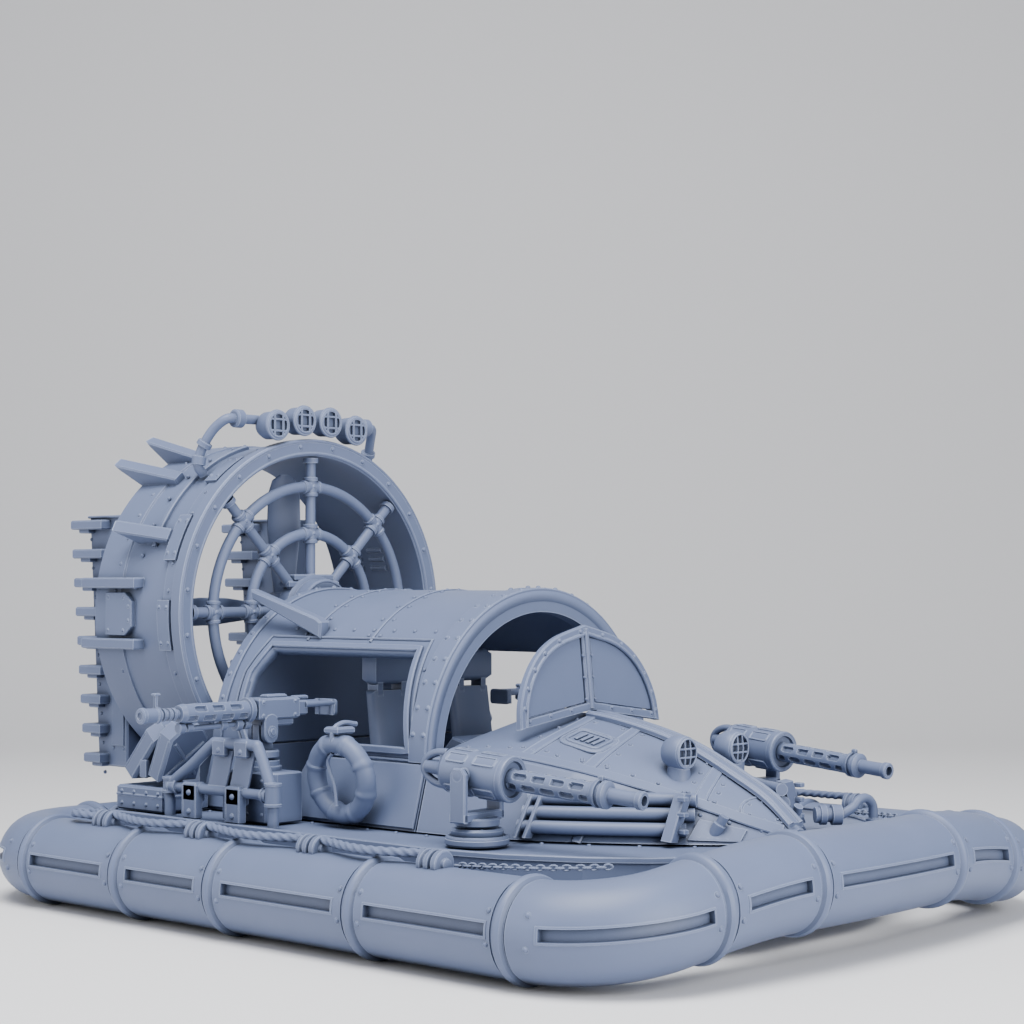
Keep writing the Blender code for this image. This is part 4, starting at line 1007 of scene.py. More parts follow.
def make_lamp_bar(finish):
    half = np.array(LAMP_BAR)
    low = spline(half, 30)
    path = np.concatenate([low, (low * (1, -1, 1))[::-1]])
    made = [tube(path, 0.85, 16)]
    for side in (-1, 1):
        made.append(lathe([(-0.9, 1.3), (-0.7, 1.6), (0.7, 1.6), (0.9, 1.3)], (-51.0, side * 15.0, 79.7), (0, 1, 0), 24))
        made.append(lathe([(-0.5, 1.2), (-0.4, 1.35), (0.4, 1.35), (0.5, 1.2)], (-54.6, side * 19.4, 75.2), (0.5, -side * 0.3, 0.9), 20))
        made.append(lathe([(-0.9, 1.0), (-0.8, 1.2), (0.6, 1.2), (0.7, 1.0)], (-55.3, side * 20.0, 72.5), (0.1, -side * 0.1, 1), 20))
    for y, z in LAMPS:
        x, radius = -49.4, 2.5
        made += lamp(x, y, z, radius)
        for s in (-1, 1):
            made.append(block((x + 2.2, x + 2.75), (y + s * 0.95 - 0.2, y + s * 0.95 + 0.2), (z - 1.95, z + 1.95), 0.1))
            made.append(block((x + 2.15, x + 2.7), (y - 1.95, y + 1.95), (z + s * 1.0 - 0.2, z + s * 1.0 + 0.2), 0.1))
    piece("lamp_bar_round", made, finish, replaces=("lamp_bar",))


def make_headlamps(finish):
    x, y, z = 38.6, -6.4, 26.5
    made = [lathe([(-2.6, 0.4), (-2.4, 1.2), (-1.8, 2.0), (-0.8, 2.5), (0.6, 2.62), (1.2, 2.5), (1.5, 2.35), (1.75, 2.1),
                   (1.7, 1.95), (1.1, 1.9)], (x, y, z), (1, 0, 0), 36)]
    made.append(hoop(round_bar(2.2, 0.22, 10), (x + 1.45, y, z), (1, 0, 0), 36))
    for s in (-0.62, 0.62):
        made.append(tube([(x + 1.5, y + s, z - 1.85), (x + 1.72, y + s, z), (x + 1.5, y + s, z + 1.85)], 0.17, 8))
        made.append(tube([(x + 1.5, y - 1.85, z + s), (x + 1.72, y, z + s), (x + 1.5, y + 1.85, z + s)], 0.17, 8))
    a = np.arange(28) / 28 * TAU
    ring = np.column_stack([x + 1.65 * np.cos(a), y + 1.65 * np.sin(a)])
    rows = []
    for level, grow in ((-0.3, 1.12), (0.5, 1.05), (1.0, 1.0)):
        flat = (ring - (x, y)) * grow + (x, y)
        chine, low, spine = (hull_line(flat[:, 0], k) for k in (2, 3, 4))
        bed = low + (spine - low) * (1 - np.abs(flat[:, 1]) / chine)
        rows.append(np.column_stack([flat, bed + level]))
    rows.append(np.column_stack([ring, np.full(28, z - 1.7)]))
    made.append(grid(capped(np.array(rows)), wrap=True))
    both("headlamp_round", made, finish, replaces=("headlamp_{}",))


def make_pipes(finish):
    """Three exhaust pipes along the hull, their clamp, end bracket and hooks."""
    s = np.linspace(24.2, 45.0, 30)
    made = []
    for height, lean in ((16.3, 0.6), (18.3, 0.2), (20.3, -0.2)):
        t = (height - FLOOR) / 8.0
        y = -np.interp(s, HULL[:, 0], HULL[:, 1]) * 0 - hull_line(s, 1) - (hull_line(s, 2) - hull_line(s, 1)) * np.clip(
            (height - FLOOR) / (hull_line(s, 3) - FLOOR), 0, 1) - 1.45
        made.append(tube(np.column_stack([s, y, np.full(30, height)]), 0.98, 16))
    for x, width in ((25.0, 0.55), (26.3, 0.55), (44.2, 1.7)):
        at = [(x, float(hull_side(np.array(x), np.array(t))[1]) - 2.35, z) for t, z in ((0.05, 14.9), (0.4, 18.3), (0.75, 21.5))]
        path = np.array(at)
        made.append(strip(np.linspace(path[0], path[-1], 6), (0.2, -1, 0.12), width, 0.5, bevel=0.12, sink=1.6))
        if width > 1:
            for z in (16.2, 18.6, 20.8):
                made.append(block((x + 0.6, x + 1.9), (path[1][1] - 0.2, path[1][1] + 0.8), (z - 0.35, z + 0.35), 0.12))
    base = hull_side(np.array(48.3), np.array(0.5))
    made.append(lathe([(-2.6, 0.5), (-2.4, 0.7), (-1.4, 0.7), (-1.3, 0.95), (1.2, 0.95), (1.3, 0.7), (2.6, 0.7)],
                      base + (-0.6, -0.6, 0.0), (0.55, 0.2, 1), 18))
    for x in (32.0,):
        low = hull_side(np.full(4, x), np.linspace(0.0, 0.22, 4))
        made.append(strip(low, (0.3, -1, 0.3), 1.4, 0.35))
    both("exhaust_pipes", made, finish, replaces=("side_pipes_{}",))


def make_life_rings(finish, cloth):
    """Torus whose bar swells under eight bands, on a hook, leaning on the tub."""
    x, y, z = -6.8, -31.4, 21.5
    centre = np.array((x, y, z))
    axis, side, up = basis((0, 1, 0.15))
    a = np.arange(128) / 128 * TAU
    near = np.abs((a[:, None] - np.radians(np.arange(8) * 45 + 20) + math.pi) % TAU - math.pi).min(1)
    bar = 1.5 + 0.12 * (near < 0.085) + 0.05 * (near < 0.045)
    spoke = np.cos(a)[:, None] * side + np.sin(a)[:, None] * up
    b = np.arange(20) / 20 * TAU
    r = 5.5 + bar[:, None] * np.cos(b)
    points = centre + r[..., None] * spoke[:, None] + (bar[:, None] * np.sin(b))[..., None] * axis
    made = [grid(points, wrap=True, loop=True)]
    hook = [(x, y + 3.0, z + 8.2), (x, y + 0.4, z + 8.5), (x, y - 1.5, z + 7.7), (x, y - 1.9, z + 6.0), (x, y - 1.5, z + 4.6)]
    made.append(tube(spline(hook, 20), 0.42, 10))
    made.append(block((x - 1.5, x + 1.5), (y - 2.2, y + 1.4), (z + 6.9, z + 8.0), 0.3))
    cord = [(x - 0.5, y - 1.4, z + 4.0), (x - 1.7, y - 1.2, z + 2.4), (x - 0.4, y - 1.0, z - 1.0), (x + 0.3, y - 1.2, z - 4.0)]
    made.append(tube(spline(cord, 16), 0.28, 8))
    both("life_ring_bound", made, finish, replaces=("life_ring_{}",))


def collar(at, axis, radius, length):
    """A pipe collar with a bead at each end."""
    h = length / 2
    return lathe([(-h, radius * 0.9), (-h + 0.05, radius + 0.12), (-h + 0.4, radius + 0.12), (-h + 0.45, radius), (h - 0.45, radius),
                  (h - 0.4, radius + 0.12), (h - 0.05, radius + 0.12), (h, radius * 0.9)], at, axis, 20)


def make_gun_frames(finish):
    y = -39.0
    outer = [(-38.6, y, FLOOR), (-38.6, y, 16.5), (-38.6, y, 19.0), (-33.0, y, 22.7), (-28.2, y, 26.0), (-26.6, y, 26.4),
             (-18.6, y, 26.4), (-17.0, y, 25.7), (-14.2, y, 20.0), (-13.7, y, 18.0), (-13.7, y, FLOOR)]
    made = [tube(spline(outer, 90), 0.88, 16), tube([(-38.4, y, 19.0), (-13.9, y, 19.0)], 0.8, 16)]
    made += [collar((-38.6, y, 19.2), (0, 0, 1), 1.15, 2.6), collar((-37.4, y, 19.0), (1, 0, 0), 1.1, 2.0),
             collar((-13.75, y, 19.2), (0, 0, 1), 1.25, 3.6), collar((-15.2, y, 19.0), (1, 0, 0), 1.05, 1.4)]
    for x in (-32.5, -22.0):
        made.append(block((x - 1.75, x + 1.75), (y - 1.15, y + 0.15), (FLOOR, 19.7), 0.2))
        made.append(block((x - 1.55, x + 1.55), (y - 1.15, y + 0.9), (17.0, 20.0), 0.25))
        made.append(domes([(x, y - 1.15, 18.4), (x, y - 1.15, 15.4)], (0, -1, 0), 0.5))
        for s in (-1.55, 1.55):
            made.append(tube([(x + s, y - 1.1, FLOOR + 0.2), (x + s, y - 1.1, 19.6)], 0.18, 8))
    for x in (-25.6, -20.4):
        made.append(block((x - 1.4, x + 1.4), (y - 0.95, y + 1.0), (24.4, 27.1), 0.3))
        made.append(domes([(x, y - 0.95, 25.3)], (0, -1, 0), 0.45))
        shield = [(0, 0), (4.3, 0), (4.3, 6.2), (0, 6.2)]
        base = np.array((x - 3.4, y + 0.2, 19.4))
        lean = unit(np.array((0.24, 0.06, 1.0)))
        made.append(slab(shield, 0.5, base, (1, 0, 0), lean, 0.12))
        for h in (1.0, 5.2):
            made.append(domes([base + (q, 0, 0) + h * lean for q in (0.7, 3.6)], (0, -1, 0), 0.33))
    both("gun_frame_round", made, finish, replaces=("gun_frame_{}",))


def slotted(length, radius, rows, columns, origin, axis, share=0.62, depth=0.5, sides=8, margin=0.5):
    """A jacket: r(s, a) is the radius less the depth inside oblong holes in staggered rows.

    A hole is an ellipse-like patch, |s|^4 + |a|^4 < 1, in each cell of the unrolled tube.
    """
    axis, side, up = basis(axis)
    s = np.linspace(0, length, columns * 14 + 1)
    a = np.arange(rows * 12) / (rows * 12) * TAU
    cell = (length - 2 * margin) / columns
    row = np.floor(a / TAU * rows)
    u = ((s[:, None] - margin) / cell + 0.5 * (row % 2)) % 1 - 0.5
    v = (a / TAU * rows) % 1 - 0.5
    hole = (np.abs(u / (share / 2)) ** 4 + np.abs(v / 0.30) ** 4) < 1
    hole &= ((s > margin * 0.6) & (s < length - margin * 0.6))[:, None]
    r = radius - depth * hole
    ring = np.cos(a)[:, None] * side + np.sin(a)[:, None] * up
    points = np.asarray(origin) + s[:, None, None] * axis + r[..., None] * ring
    return grid(capped(points), wrap=True)


def make_side_guns(finish):
    px, py, pz = SIDE_GUN
    y = -py
    base = [slab([(px - 5.9, -37.1), (px + 4.1, -37.1), (px + 5.5, -35.7), (px + 5.5, -30.7), (px - 5.9, -30.7)], 7.8,
                 (0, 0, FLOOR), (1, 0, 0), (0, 1, 0), 0.25)]
    base.append(lathe([(0, 3.0), (1.0, 3.0), (1.1, 2.7), (1.9, 2.7), (2.0, 2.5)], (px, y, 21.8), (0, 0, 1), 36))
    base.append(domes([(px + s, -37.1, h) for s in (-4.8, 0.0, 3.4) for h in (15.6, 20.8)], (0, -1, 0), 0.36))
    both("side_gun_plinth", base, finish, replaces=("side_gun_base_{}",))
    yoke = [lathe([(0, 2.4), (0.2, 2.6), (1.0, 2.6), (1.2, 2.4)], (px, y, 24.1), (0, 0, 1), 32),
            block((px - 0.68, px + 0.68), (y - 1.45, y + 1.45), (25.0, 29.5), 0.3)]
    both("side_gun_swivel", yoke, finish, "side_yoke_{}", ("side_gun_yoke_{}",))
    z = BORE_Z
    made = []
    for s in (-1, 1):
        lug = rounded(2.8, 4.6, 1.3)
        made.append(slab(lug, 1.1, (px + s * 1.6 - 0.55, y, 28.7), (0, 1, 0), (0, 0, 1), 0.15))
        made.append(lathe([(0, 0.9), (0.25, 0.9), (0.3, 0.5), (0.5, 0.45)], (px + s * 2.1, y, 28.2), (s, 0, 0), 18))
    made.append(block((px - 2.1, px + 2.1), (-36.5, -28.2), (z - 1.5, z + 1.8), 0.3))
    made.append(block((px - 1.6, px + 1.6), (-28.4, -26.1), (z - 1.1, z + 1.2), 0.25))
    made.append(block((px - 1.5, px + 1.5), (-35.4, -29.0), (z - 2.6, z - 1.3), 0.3))
    made.append(block((px - 0.9, px + 0.9), (-33.8, -29.8), (z + 1.6, z + 2.3), 0.25))
    made.append(block((px - 0.5, px + 0.5), (-28.0, -25.0), (z + 1.2, z + 1.9), 0.2))
    made.append(domes([(px - 2.1, b, z + h) for b in (-35.6, -29.1) for h in (-0.9, 1.2)], (-1, 0, 0), 0.3))
    made.append(domes([(px + 2.1, b, z + h) for b in (-35.6, -29.1) for h in (-0.9, 1.2)], (1, 0, 0), 0.3))
    made.append(lathe([(0, 1.25), (0.15, 1.95), (1.0, 1.95), (1.1, 1.6)], (px, -37.8, z), (0, 1, 0), 28))
    made.append(slotted(12.2, 1.5, 6, 3, (px, -49.9, z), (0, 1, 0), share=0.6, depth=0.45, margin=0.9))
    made.append(lathe([(0, 0.95), (0.1, 1.3), (0.9, 1.5), (1.1, 1.3)], (px, -50.8, z), (0, 1, 0), 28))
    made.append(tube([(px, -54.6, z), (px, -50.0, z)], 0.72, 16))
    for b in (-53.6, -52.6, -51.7):
        made.append(lathe([(-0.3, 0.8), (-0.2, 1.0), (0.2, 1.0), (0.3, 0.8)], (px, b, z), (0, 1, 0), 20))
    made.append(lathe([(0.3, 0.5), (0.05, 0.62), (0.05, 1.0), (0.2, 1.2), (0.7, 1.25), (0.8, 1.1), (2.8, 1.1), (2.9, 1.25), (3.4, 1.25), (3.5, 1.0)],
                      (px, -57.9, z), (0, 1, 0), 24))
    made.append(block((px - 0.25, px + 0.25), (-55.1, -54.7), (z + 0.9, z + 3.2), 0.1))
    made.append(block((px - 0.45, px + 0.45), (-55.4, -54.4), (z + 2.9, z + 3.3), 0.12))
    made.append(tube([(px, -50.4, z - 2.3), (px, -37.0, z - 2.0)], 0.42, 12))
    for b, r in ((-50.2, 0.8), (-48.6, 0.65), (-42.0, 0.7), (-39.2, 0.95), (-37.4, 0.8)):
        made.append(lathe([(-0.6, r * 0.8), (-0.5, r), (0.5, r), (0.6, r * 0.8)], (px, b, z - 2.15), (0, 1, 0), 18))
    made.append(block((px - 0.4, px + 0.4), (-42.5, -41.5), (z - 2.2, z - 1.2), 0.12))
    for s in (-1, 1):
        made.append(tube([(px + s * 1.5, -26.6, z + 0.5), (px + s * 1.7, -20.6, z + 0.5)], 0.5, 12))
        made.append(tube([(px + s * 1.7, -21.0, z - 1.4), (px + s * 1.7, -21.0, z + 1.1)], 0.42, 12))
    made.append(slab(rounded(4.4, 2.6, 0.6), 0.8, (px, -20.9, z - 0.2), (-1, 0, 0), (0, 0, 1), 0.15))
    both("side_gun_detail", made, finish, "side_gun_{}", ("side_gun_{}",))


def make_front_guns(finish):
    x, y, z = FRONT_GUN[0], -FRONT_GUN[1], FRONT_GUN[2]
    base = [lathe([(0.02, 4.4), (0.3, 4.6), (0.9, 4.6), (1.2, 4.2), (1.25, 3.6), (1.5, 3.7), (2.1, 3.8), (2.4, 3.5)], (x, y, FLOOR), (0, 0, 1), 48)]
    base.append(hoop(round_bar(4.2, 0.35, 10), (x, y, FLOOR + 1.1), (0, 0, 1), 48))
    b = np.radians(np.arange(0, 360, 45) + 10)
    base.append(domes(np.column_stack([x + 3.9 * np.cos(b) * 0 + 3.2 * np.cos(b), y + 3.2 * np.sin(b), np.full(8, FLOOR + 2.3)]), (0, 0, 1), 0.3, 0.2))
    both("front_gun_ring", base, finish, replaces=("front_gun_base_{}",))
    toe = dict(turn=FRONT_TOE, axis="z", about=(x, y, z))
    dip = dict(turn=FRONT_DIP, axis="y", about=(x, y, z))
    yoke = [lathe([(0, 3.0), (0.2, 3.2), (1.0, 3.2), (1.2, 3.0)], (x, y, 17.0), (0, 0, 1), 36)]
    yoke.append(block((x - 1.35, x + 1.35), (y - 4.7, y + 4.7), (17.7, 19.1), 0.25))
    for s in (-1, 1):
        arm = [(-1.35, 0), (1.35, 0), (1.35, z + 0.2 - 17.7), (0.7, z + 1.1 - 17.7), (-0.7, z + 1.1 - 17.7), (-1.35, z + 0.2 - 17.7)]
        made_arm = slab(arm, 0.95, (x, y + s * 4.3 + 0.47, 17.7), (1, 0, 0), (0, 0, 1), 0.2)
        yoke.append(made_arm)
        yoke.append(lathe([(0, 0.8), (0.2, 0.8), (0.28, 0.4)], (x, y + s * 4.55, z), (0, s, 0), 18))
    both("front_gun_fork", [moved(s, **toe) for s in yoke], finish, "front_yoke_{}", ("front_gun_yoke_{}",))
    gun = [lathe([(-9.4, 0.5), (-9.0, 0.95), (-6.4, 1.1), (-6.0, 1.3), (-5.4, 2.3), (-5.0, 2.6), (-4.7, 3.0), (-4.4, 3.2), (5.3, 3.2),
                  (5.4, 3.3), (6.2, 3.3), (6.3, 3.1), (6.3, 2.6), (5.9, 2.4), (5.9, 0.8)], (x, y, z), (1, 0, 0), 48)]
    gun.append(lathe([(-3.45, 1.05), (3.45, 1.05)], (x, y, z), (0, 1, 0), 24))
    gun.append(hoop(round_bar(3.1, 0.22, 8), (x + 6.15, y, z), (1, 0, 0), 48))
    for k in range(8):
        a = k * TAU / 8
        out = np.array((0, math.cos(a), math.sin(a)))
        across = np.array((0, -math.sin(a), math.cos(a)))
        for start, length in ((-3.7, 3.2), (1.0, 3.6)):
            ring = rounded(length, 1.5, 0.25)
            path = np.array((x + start + length / 2, y, z)) + 3.15 * out + ring[:, :1] * np.array((1, 0, 0)) + ring[:, 1:] * across
            if abs(out[1]) < 0.9:
                gun.append(tube(path, 0.16, 6, loop=True))
        gun.append(block_at(np.array((x + 0.1, y, z)) + 3.25 * out, out, (0.9, 1.0, 0.35)) if abs(out[1]) < 0.9 else
                   lathe([(0, 1.0), (0.1, 1.0)], (x, y, z), (0, 1, 0), 8))
    gun.append(slotted(14.0, 1.55, 6, 4, (x + 6.0, y, z), (1, 0, 0), share=0.66, depth=0.5, margin=0.6))
    gun.append(lathe([(20.0, 1.2), (20.1, 1.7), (20.5, 1.95), (20.9, 1.95), (21.0, 1.6), (21.5, 1.6), (21.6, 1.95), (22.2, 1.95),
                      (22.5, 1.6), (22.6, 1.05)], (x, y, z), (1, 0, 0), 28))
    gun.append(lathe([(22.0, 1.05), (27.1, 1.1), (27.2, 1.3), (27.9, 1.3), (28.05, 1.15), (28.05, 0.75), (27.2, 0.7)], (x, y, z), (1, 0, 0), 24))
    gun.append(block((x + 20.6, x + 21.4), (y - 0.3, y + 0.3), (z + 1.6, z + 2.5), 0.15))
    loop = [(x - 6.0 - 3.5 * math.sin(a), y, z + 2.3 * math.cos(a)) for a in np.linspace(-0.15, math.pi + 0.15, 24)]
    gun.append(tube(loop, 0.6, 14))
    gun.append(block((x - 6.5, x - 5.4), (y - 0.5, y + 0.5), (z - 2.6, z + 2.6), 0.2))
    both("front_gun_detail", [moved(moved(s, **dip), **toe) for s in gun], finish, "front_gun_{}", ("front_gun_{}",))


def block_at(at, out, size):
    """A small bevelled block with its height along a direction square to X."""
    across = np.cross((1.0, 0, 0), out)
    w, h = size[0] / 2, size[1] / 2
    outline = [(-w, -h), (w, -h), (w, h), (-w, h)]
    return slab(outline, size[2], np.asarray(at) - 0.15 * out, (1, 0, 0), across, 0.1)


CANS = ((-51.0, 20.2, 10.5, 42.0), (-44.5, 19.7, 9.6, 24.0))


def make_stowage(finish):
    made = [block((-52.9, -41.1), (-38.7, -29.3), (FLOOR, 18.3), 0.35)]
    made.append(domes([(x, -38.7, h) for x in (-51.6, -48.4, -45.2, -42.2) for h in (15.4, 17.3)], (0, -1, 0), 0.34))
    made.append(block((-53.0, -41.0), (-38.8, -29.2), (16.6, 17.0), 0.1))
    both("deck_box_panelled", made, finish, replaces=("deck_box_{}",))
    made = []
    for x, z, height, lean in CANS:
        outline = [(-3.9, 0), (3.9, 0), (3.9, height - 2.0), (2.2, height - 0.05), (-2.2, height - 0.05), (-3.9, height - 2.0)]
        can = [slab(outline, 3.5, (x - 1.75, -34.0, z), (0, 1, 0), (0, 0, 1), 0.4)]
        for face in (-1, 1):
            for turn in (-1, 1):
                line = [(x + face * 1.75, -34.0 - turn * 2.9, z + 1.2), (x + face * 1.75, -34.0 + turn * 2.9, z + height - 2.6)]
                can.append(tube(np.linspace(*line, 4), 0.3, 8))
            can.append(tube([(x + face * 1.2, -37.8, z + 0.4), (x + face * 1.2, -37.8, z + height - 2.4)], 0.22, 8))
        can.append(tube([(x, -36.0, z + height - 0.7), (x, -35.4, z + height - 0.2), (x, -32.6, z + height - 0.2), (x, -32.0, z + height - 0.7)], 0.4, 10))
        made += [moved(s, turn=math.radians(lean), axis="y", about=(x, -34.0, z)) for s in can]
    made.append(block((-47.8, -46.2), (-38.0, -37.2), (19.6, 22.6), 0.2))
    both("cans_ribbed", made, finish, replaces=("fuel_cans_{}",))


REEL_X = (-39.5, -16.8, 8.1, 32.0)
REEL_Z = 14.1
ROPE_R = 0.62


def rope(path, radius=ROPE_R, lay=2.6, strands=3):
    """Laid rope: r(s, a) = R (0.84 + 0.16 |cos(strands a / 2 - turn)|), the turn growing with length."""
    path = spline(path, max(24, int(along(np.asarray(path, float))[-1] / 0.16)))
    tangent, side, up = carried(path)
    a = np.arange(18) / 18 * TAU
    turn = along(path) / lay * math.pi * strands
    r = radius * (0.76 + 0.30 * np.abs(np.cos(strands * a / 2 - turn[:, None] / 2 * 1.0)))
    points = path[:, None] + r[..., None] * (np.cos(a)[:, None] * side[:, None] + np.sin(a)[:, None] * up[:, None])
    return grid(capped(points), wrap=True)


def make_rigging(finish, cord_finish):
    """Reels sunk in the skirt with moulded rope between them, and the bow deck's hose."""
    y = -SKIRT_HALF_WIDTH
    reels, ropes = [], []
    for x in REEL_X:
        reels.append(lathe([(-1.9, 1.5), (-1.8, 1.8), (-1.2, 1.9), (-1.0, 1.5), (-0.5, 1.45), (-0.4, 1.85), (0.3, 1.9), (0.4, 1.45),
                            (0.8, 1.5), (0.9, 1.85), (1.7, 1.9), (1.85, 1.7), (1.9, 0.9), (2.3, 0.8), (2.4, 0.5)], (x, y, REEL_Z), (1, 0, 0), 36))
    top = TUBE_Z + STRAP_R + ROPE_R + 0.1
    for a, b in zip(REEL_X, REEL_X[1:]):
        t = np.linspace(0, 1, 9)
        sag = np.sin(math.pi * t)
        path = np.column_stack([a + 1.8 + (b - a - 3.6) * t, y - 1.7 * sag ** 1.5, top + 0.2 - 0.22 * sag])
        ropes.append(rope(path))
    loop = [(REEL_X[0] - 1.6, y + 0.4), (-43.4, y + 1.2), (-45.8, y + 1.3), (-47.3, y + 0.2), (-46.6, y - 1.2),
            (-44.2, y - 1.3), (REEL_X[0] - 1.6, y - 0.5)]
    ropes.append(rope([(p, q, top - 0.25 + 0.2 * (p < -43)) for p, q in loop]))
    both("rope_reel_drums", reels, finish, replaces=("rope_reels_{}",))
    both("rope_laid", ropes, cord_finish)
    collar_line = [(0, 0.9), (0.05, 1.2), (0.7, 1.2), (0.8, 1.5), (1.7, 1.5), (1.8, 1.1), (2.5, 1.1), (2.6, 1.55), (4.1, 1.55), (4.2, 0.9)]
    hose = [(49.6, 19.4, 16.2), (50.6, 20.9, 17.2), (51.0, 22.0, 18.3), (51.3, 23.6, 18.5), (51.5, 25.0, 17.4), (51.5, 25.3, 15.0)]
    piece("bow_hose_moulded", [lathe(collar_line, (46.9, 16.2, 16.2), (2.7, 3.2, 0), 24), tube(spline(hose, 30), 0.72, 14),
                               lathe([(0, 1.0), (0.1, 1.2), (0.8, 1.2), (0.9, 0.9)], (51.5, 25.3, 14.5), (0, 0, 1), 18)],
          finish, replaces=("bow_hose",))
    links = []
    s = np.linspace(0, 1, 26)
    line = spline([(31.5, -46.0, 13.4), (38.0, -44.4, 13.6), (45.0, -41.6, 13.8), (52.0, -37.8, 14.2)], 27)
    for k, (p, q) in enumerate(zip(line, line[1:])):
        along_link = unit(q - p)
        across = np.array((0, 0, 1.0)) if k % 2 else unit(np.cross((0, 0, 1.0), along_link))
        a = np.linspace(0, TAU, 10, endpoint=False)
        ring = (p + q) / 2 + 0.62 * np.cos(a)[:, None] * along_link + 0.36 * np.sin(a)[:, None] * across
        links.append(tube(ring, 0.15, 6, loop=True))
    both("gutter_chain", links, finish)


def make_cab(finish):
    floor = FLOOR + 2.0 + GAP
    seat = [block((-17.9, -7.1), (-14.4, -4.6), (floor, floor + 4.4), 0.9)]
    back = [(-18.5, floor), (-15.7, floor), (-18.3, 33.8), (-20.5, 33.8)]
    seat.append(slab(back, 8.8, (0, -5.1, 0), (1, 0, 0), (0, 0, 1), 0.7))
    seat.append(block((-20.6, -18.2), (-12.8, -11.6), (32.6, 35.6), 0.2))
    seat.append(block((-20.6, -18.2), (-7.4, -6.2), (32.6, 35.6), 0.2))
    seat.append(block((-20.9, -17.7), (-13.7, -5.3), (34.7, 40.1), 0.9))
    both("seat_moulded", seat, finish, smooth=50.0, replaces=("seat_{}",))
    dash = [slab([(-0.9, floor), (3.9, floor), (3.9, 26.9), (1.5, 27.5), (-0.9, 25.0)], 31.8, (0, 15.9, 0), (1, 0, 0), (0, 0, 1), 0.3)]
    for y in (-9.5, -6.0, 6.0, 9.5):
        dash.append(lathe([(0, 1.2), (0.3, 1.2), (0.35, 0.9)], (-0.8, y, 23.0), (-1, 0, 0), 20))
    piece("instrument_panel_dials", dash, finish, replaces=("instrument_panel",))


# Finishes: base colour, painted edge highlight, painted corner shade, roughness
def finish_of(settings, kind):
    """The named finish, made the first time that a piece asks for it."""
    name = kind + "_resin"
    known = bpy.data.materials.get(name)
    if known:
        return known
    # The second colour is the painted edge highlight, the third the painted shade for corners and recesses.
    body, edge, painted_shade_colour = settings.body_colour, settings.edge_highlight_colour, settings.corner_shade_colour
    edge_mm = settings.edge_highlight_reach / MM
    if kind == "skirt":
        return resin(name, body, edge, painted_shade_colour, 0.46, edge_mm, 0.55, 0.22, 0.04)
    if kind == "gun":
        return resin(name, body, edge, painted_shade_colour, 0.42, edge_mm * 0.8, 0.95, 0.14, 0.05)
    if kind == "rope":
        return resin(name, body, edge, painted_shade_colour, 0.62, edge_mm * 0.6, 0.5, 0.12, 0.1)
    if kind == "pane":
        return resin(name, body, edge, painted_shade_colour, 0.36, edge_mm, 0.6, 0.3, 0.03)
    return resin(name, body, edge, painted_shade_colour, 0.5, edge_mm, 0.85, 0.16, 0.06)


class HovercraftSettings(bpy.types.PropertyGroup):
    body_colour: bpy.props.StringProperty(name="Body colour", description="Resin on open faces, sRGB hex", default="#626E8C")
    # Painted highlight: the edge colour is laid on convex edges in place of the light they catch.
    edge_highlight_colour: bpy.props.StringProperty(name="Edge colour", description="Resin on worn edges, sRGB hex", default="#98A3BD")
    # Painted shade: the corner colour is laid in corners and recesses in place of the shade that falls there.
    corner_shade_colour: bpy.props.StringProperty(name="Corner colour", description="Resin in tight corners, sRGB hex", default="#333A4B")
    floor_colour: bpy.props.StringProperty(name="Floor colour", description="Backdrop and floor, sRGB hex", default="#DADADC")
    # How far the painted edge highlight reaches.
    edge_highlight_reach: bpy.props.FloatProperty(name="Edge wear", description="How far the paler edges reach", default=0.28 * MM, min=0, subtype="DISTANCE", unit="LENGTH")


class PieceOperator:
    """What every operator here shares: the settings, and a run of its make function."""
    bl_options = {"REGISTER", "UNDO"}

    @property
    def settings(self):
        return bpy.context.scene.hovercraft


class HOVERCRAFT_OT_skirt(PieceOperator, bpy.types.Operator):
    """Air skirt: four lengths of tube with straps, slots and rivets"""
    bl_idname = "hovercraft.skirt"
    bl_label = "Air skirt"

    def execute(self, context):
        make_skirt(finish_of(self.settings, "skirt"))
        return {"FINISHED"}


class HOVERCRAFT_OT_hull(PieceOperator, bpy.types.Operator):
    """Deck edge, bonnet plating, tub sides, canopy, windscreen and cab"""
    bl_idname = "hovercraft.hull"
    bl_label = "Hull and cab"

    def execute(self, context):
        plate = finish_of(self.settings, "plate")
        make_deck(plate)
        make_hull(plate)
        make_tub(plate)
        make_canopy(plate)
        make_windscreen(plate, finish_of(self.settings, "pane"))
        make_cab(plate)
        return {"FINISHED"}


class HOVERCRAFT_OT_fan(PieceOperator, bpy.types.Operator):
    """Duct, guard, propeller, rudders and the lamp bar"""
    bl_idname = "hovercraft.fan"
    bl_label = "Fan and rudders"

    def execute(self, context):
        plate = finish_of(self.settings, "plate")
        make_duct(plate)
        make_guard(plate)
        make_propeller(plate)
        make_rudders(plate)
        make_lamp_bar(plate)
        return {"FINISHED"}


class HOVERCRAFT_OT_fittings(PieceOperator, bpy.types.Operator):
    """Headlamps, pipes, life rings, deck boxes, cans, reels, rope, hose and chain"""
    bl_idname = "hovercraft.fittings"
    bl_label = "Deck fittings"

    def execute(self, context):
        plate = finish_of(self.settings, "plate")
        rope_finish = finish_of(self.settings, "rope")
        make_headlamps(plate)
        make_pipes(plate)
        make_life_rings(plate, rope_finish)
        make_stowage(plate)
        make_rigging(plate, rope_finish)
        return {"FINISHED"}


class HOVERCRAFT_OT_guns(PieceOperator, bpy.types.Operator):
    """Front guns on rings, side guns on plinths, and the frames before them"""
    bl_idname = "hovercraft.guns"
    bl_label = "Guns"

    def execute(self, context):
        steel = finish_of(self.settings, "gun")
        make_gun_frames(finish_of(self.settings, "plate"))
        make_side_guns(steel)
        make_front_guns(steel)
        return {"FINISHED"}


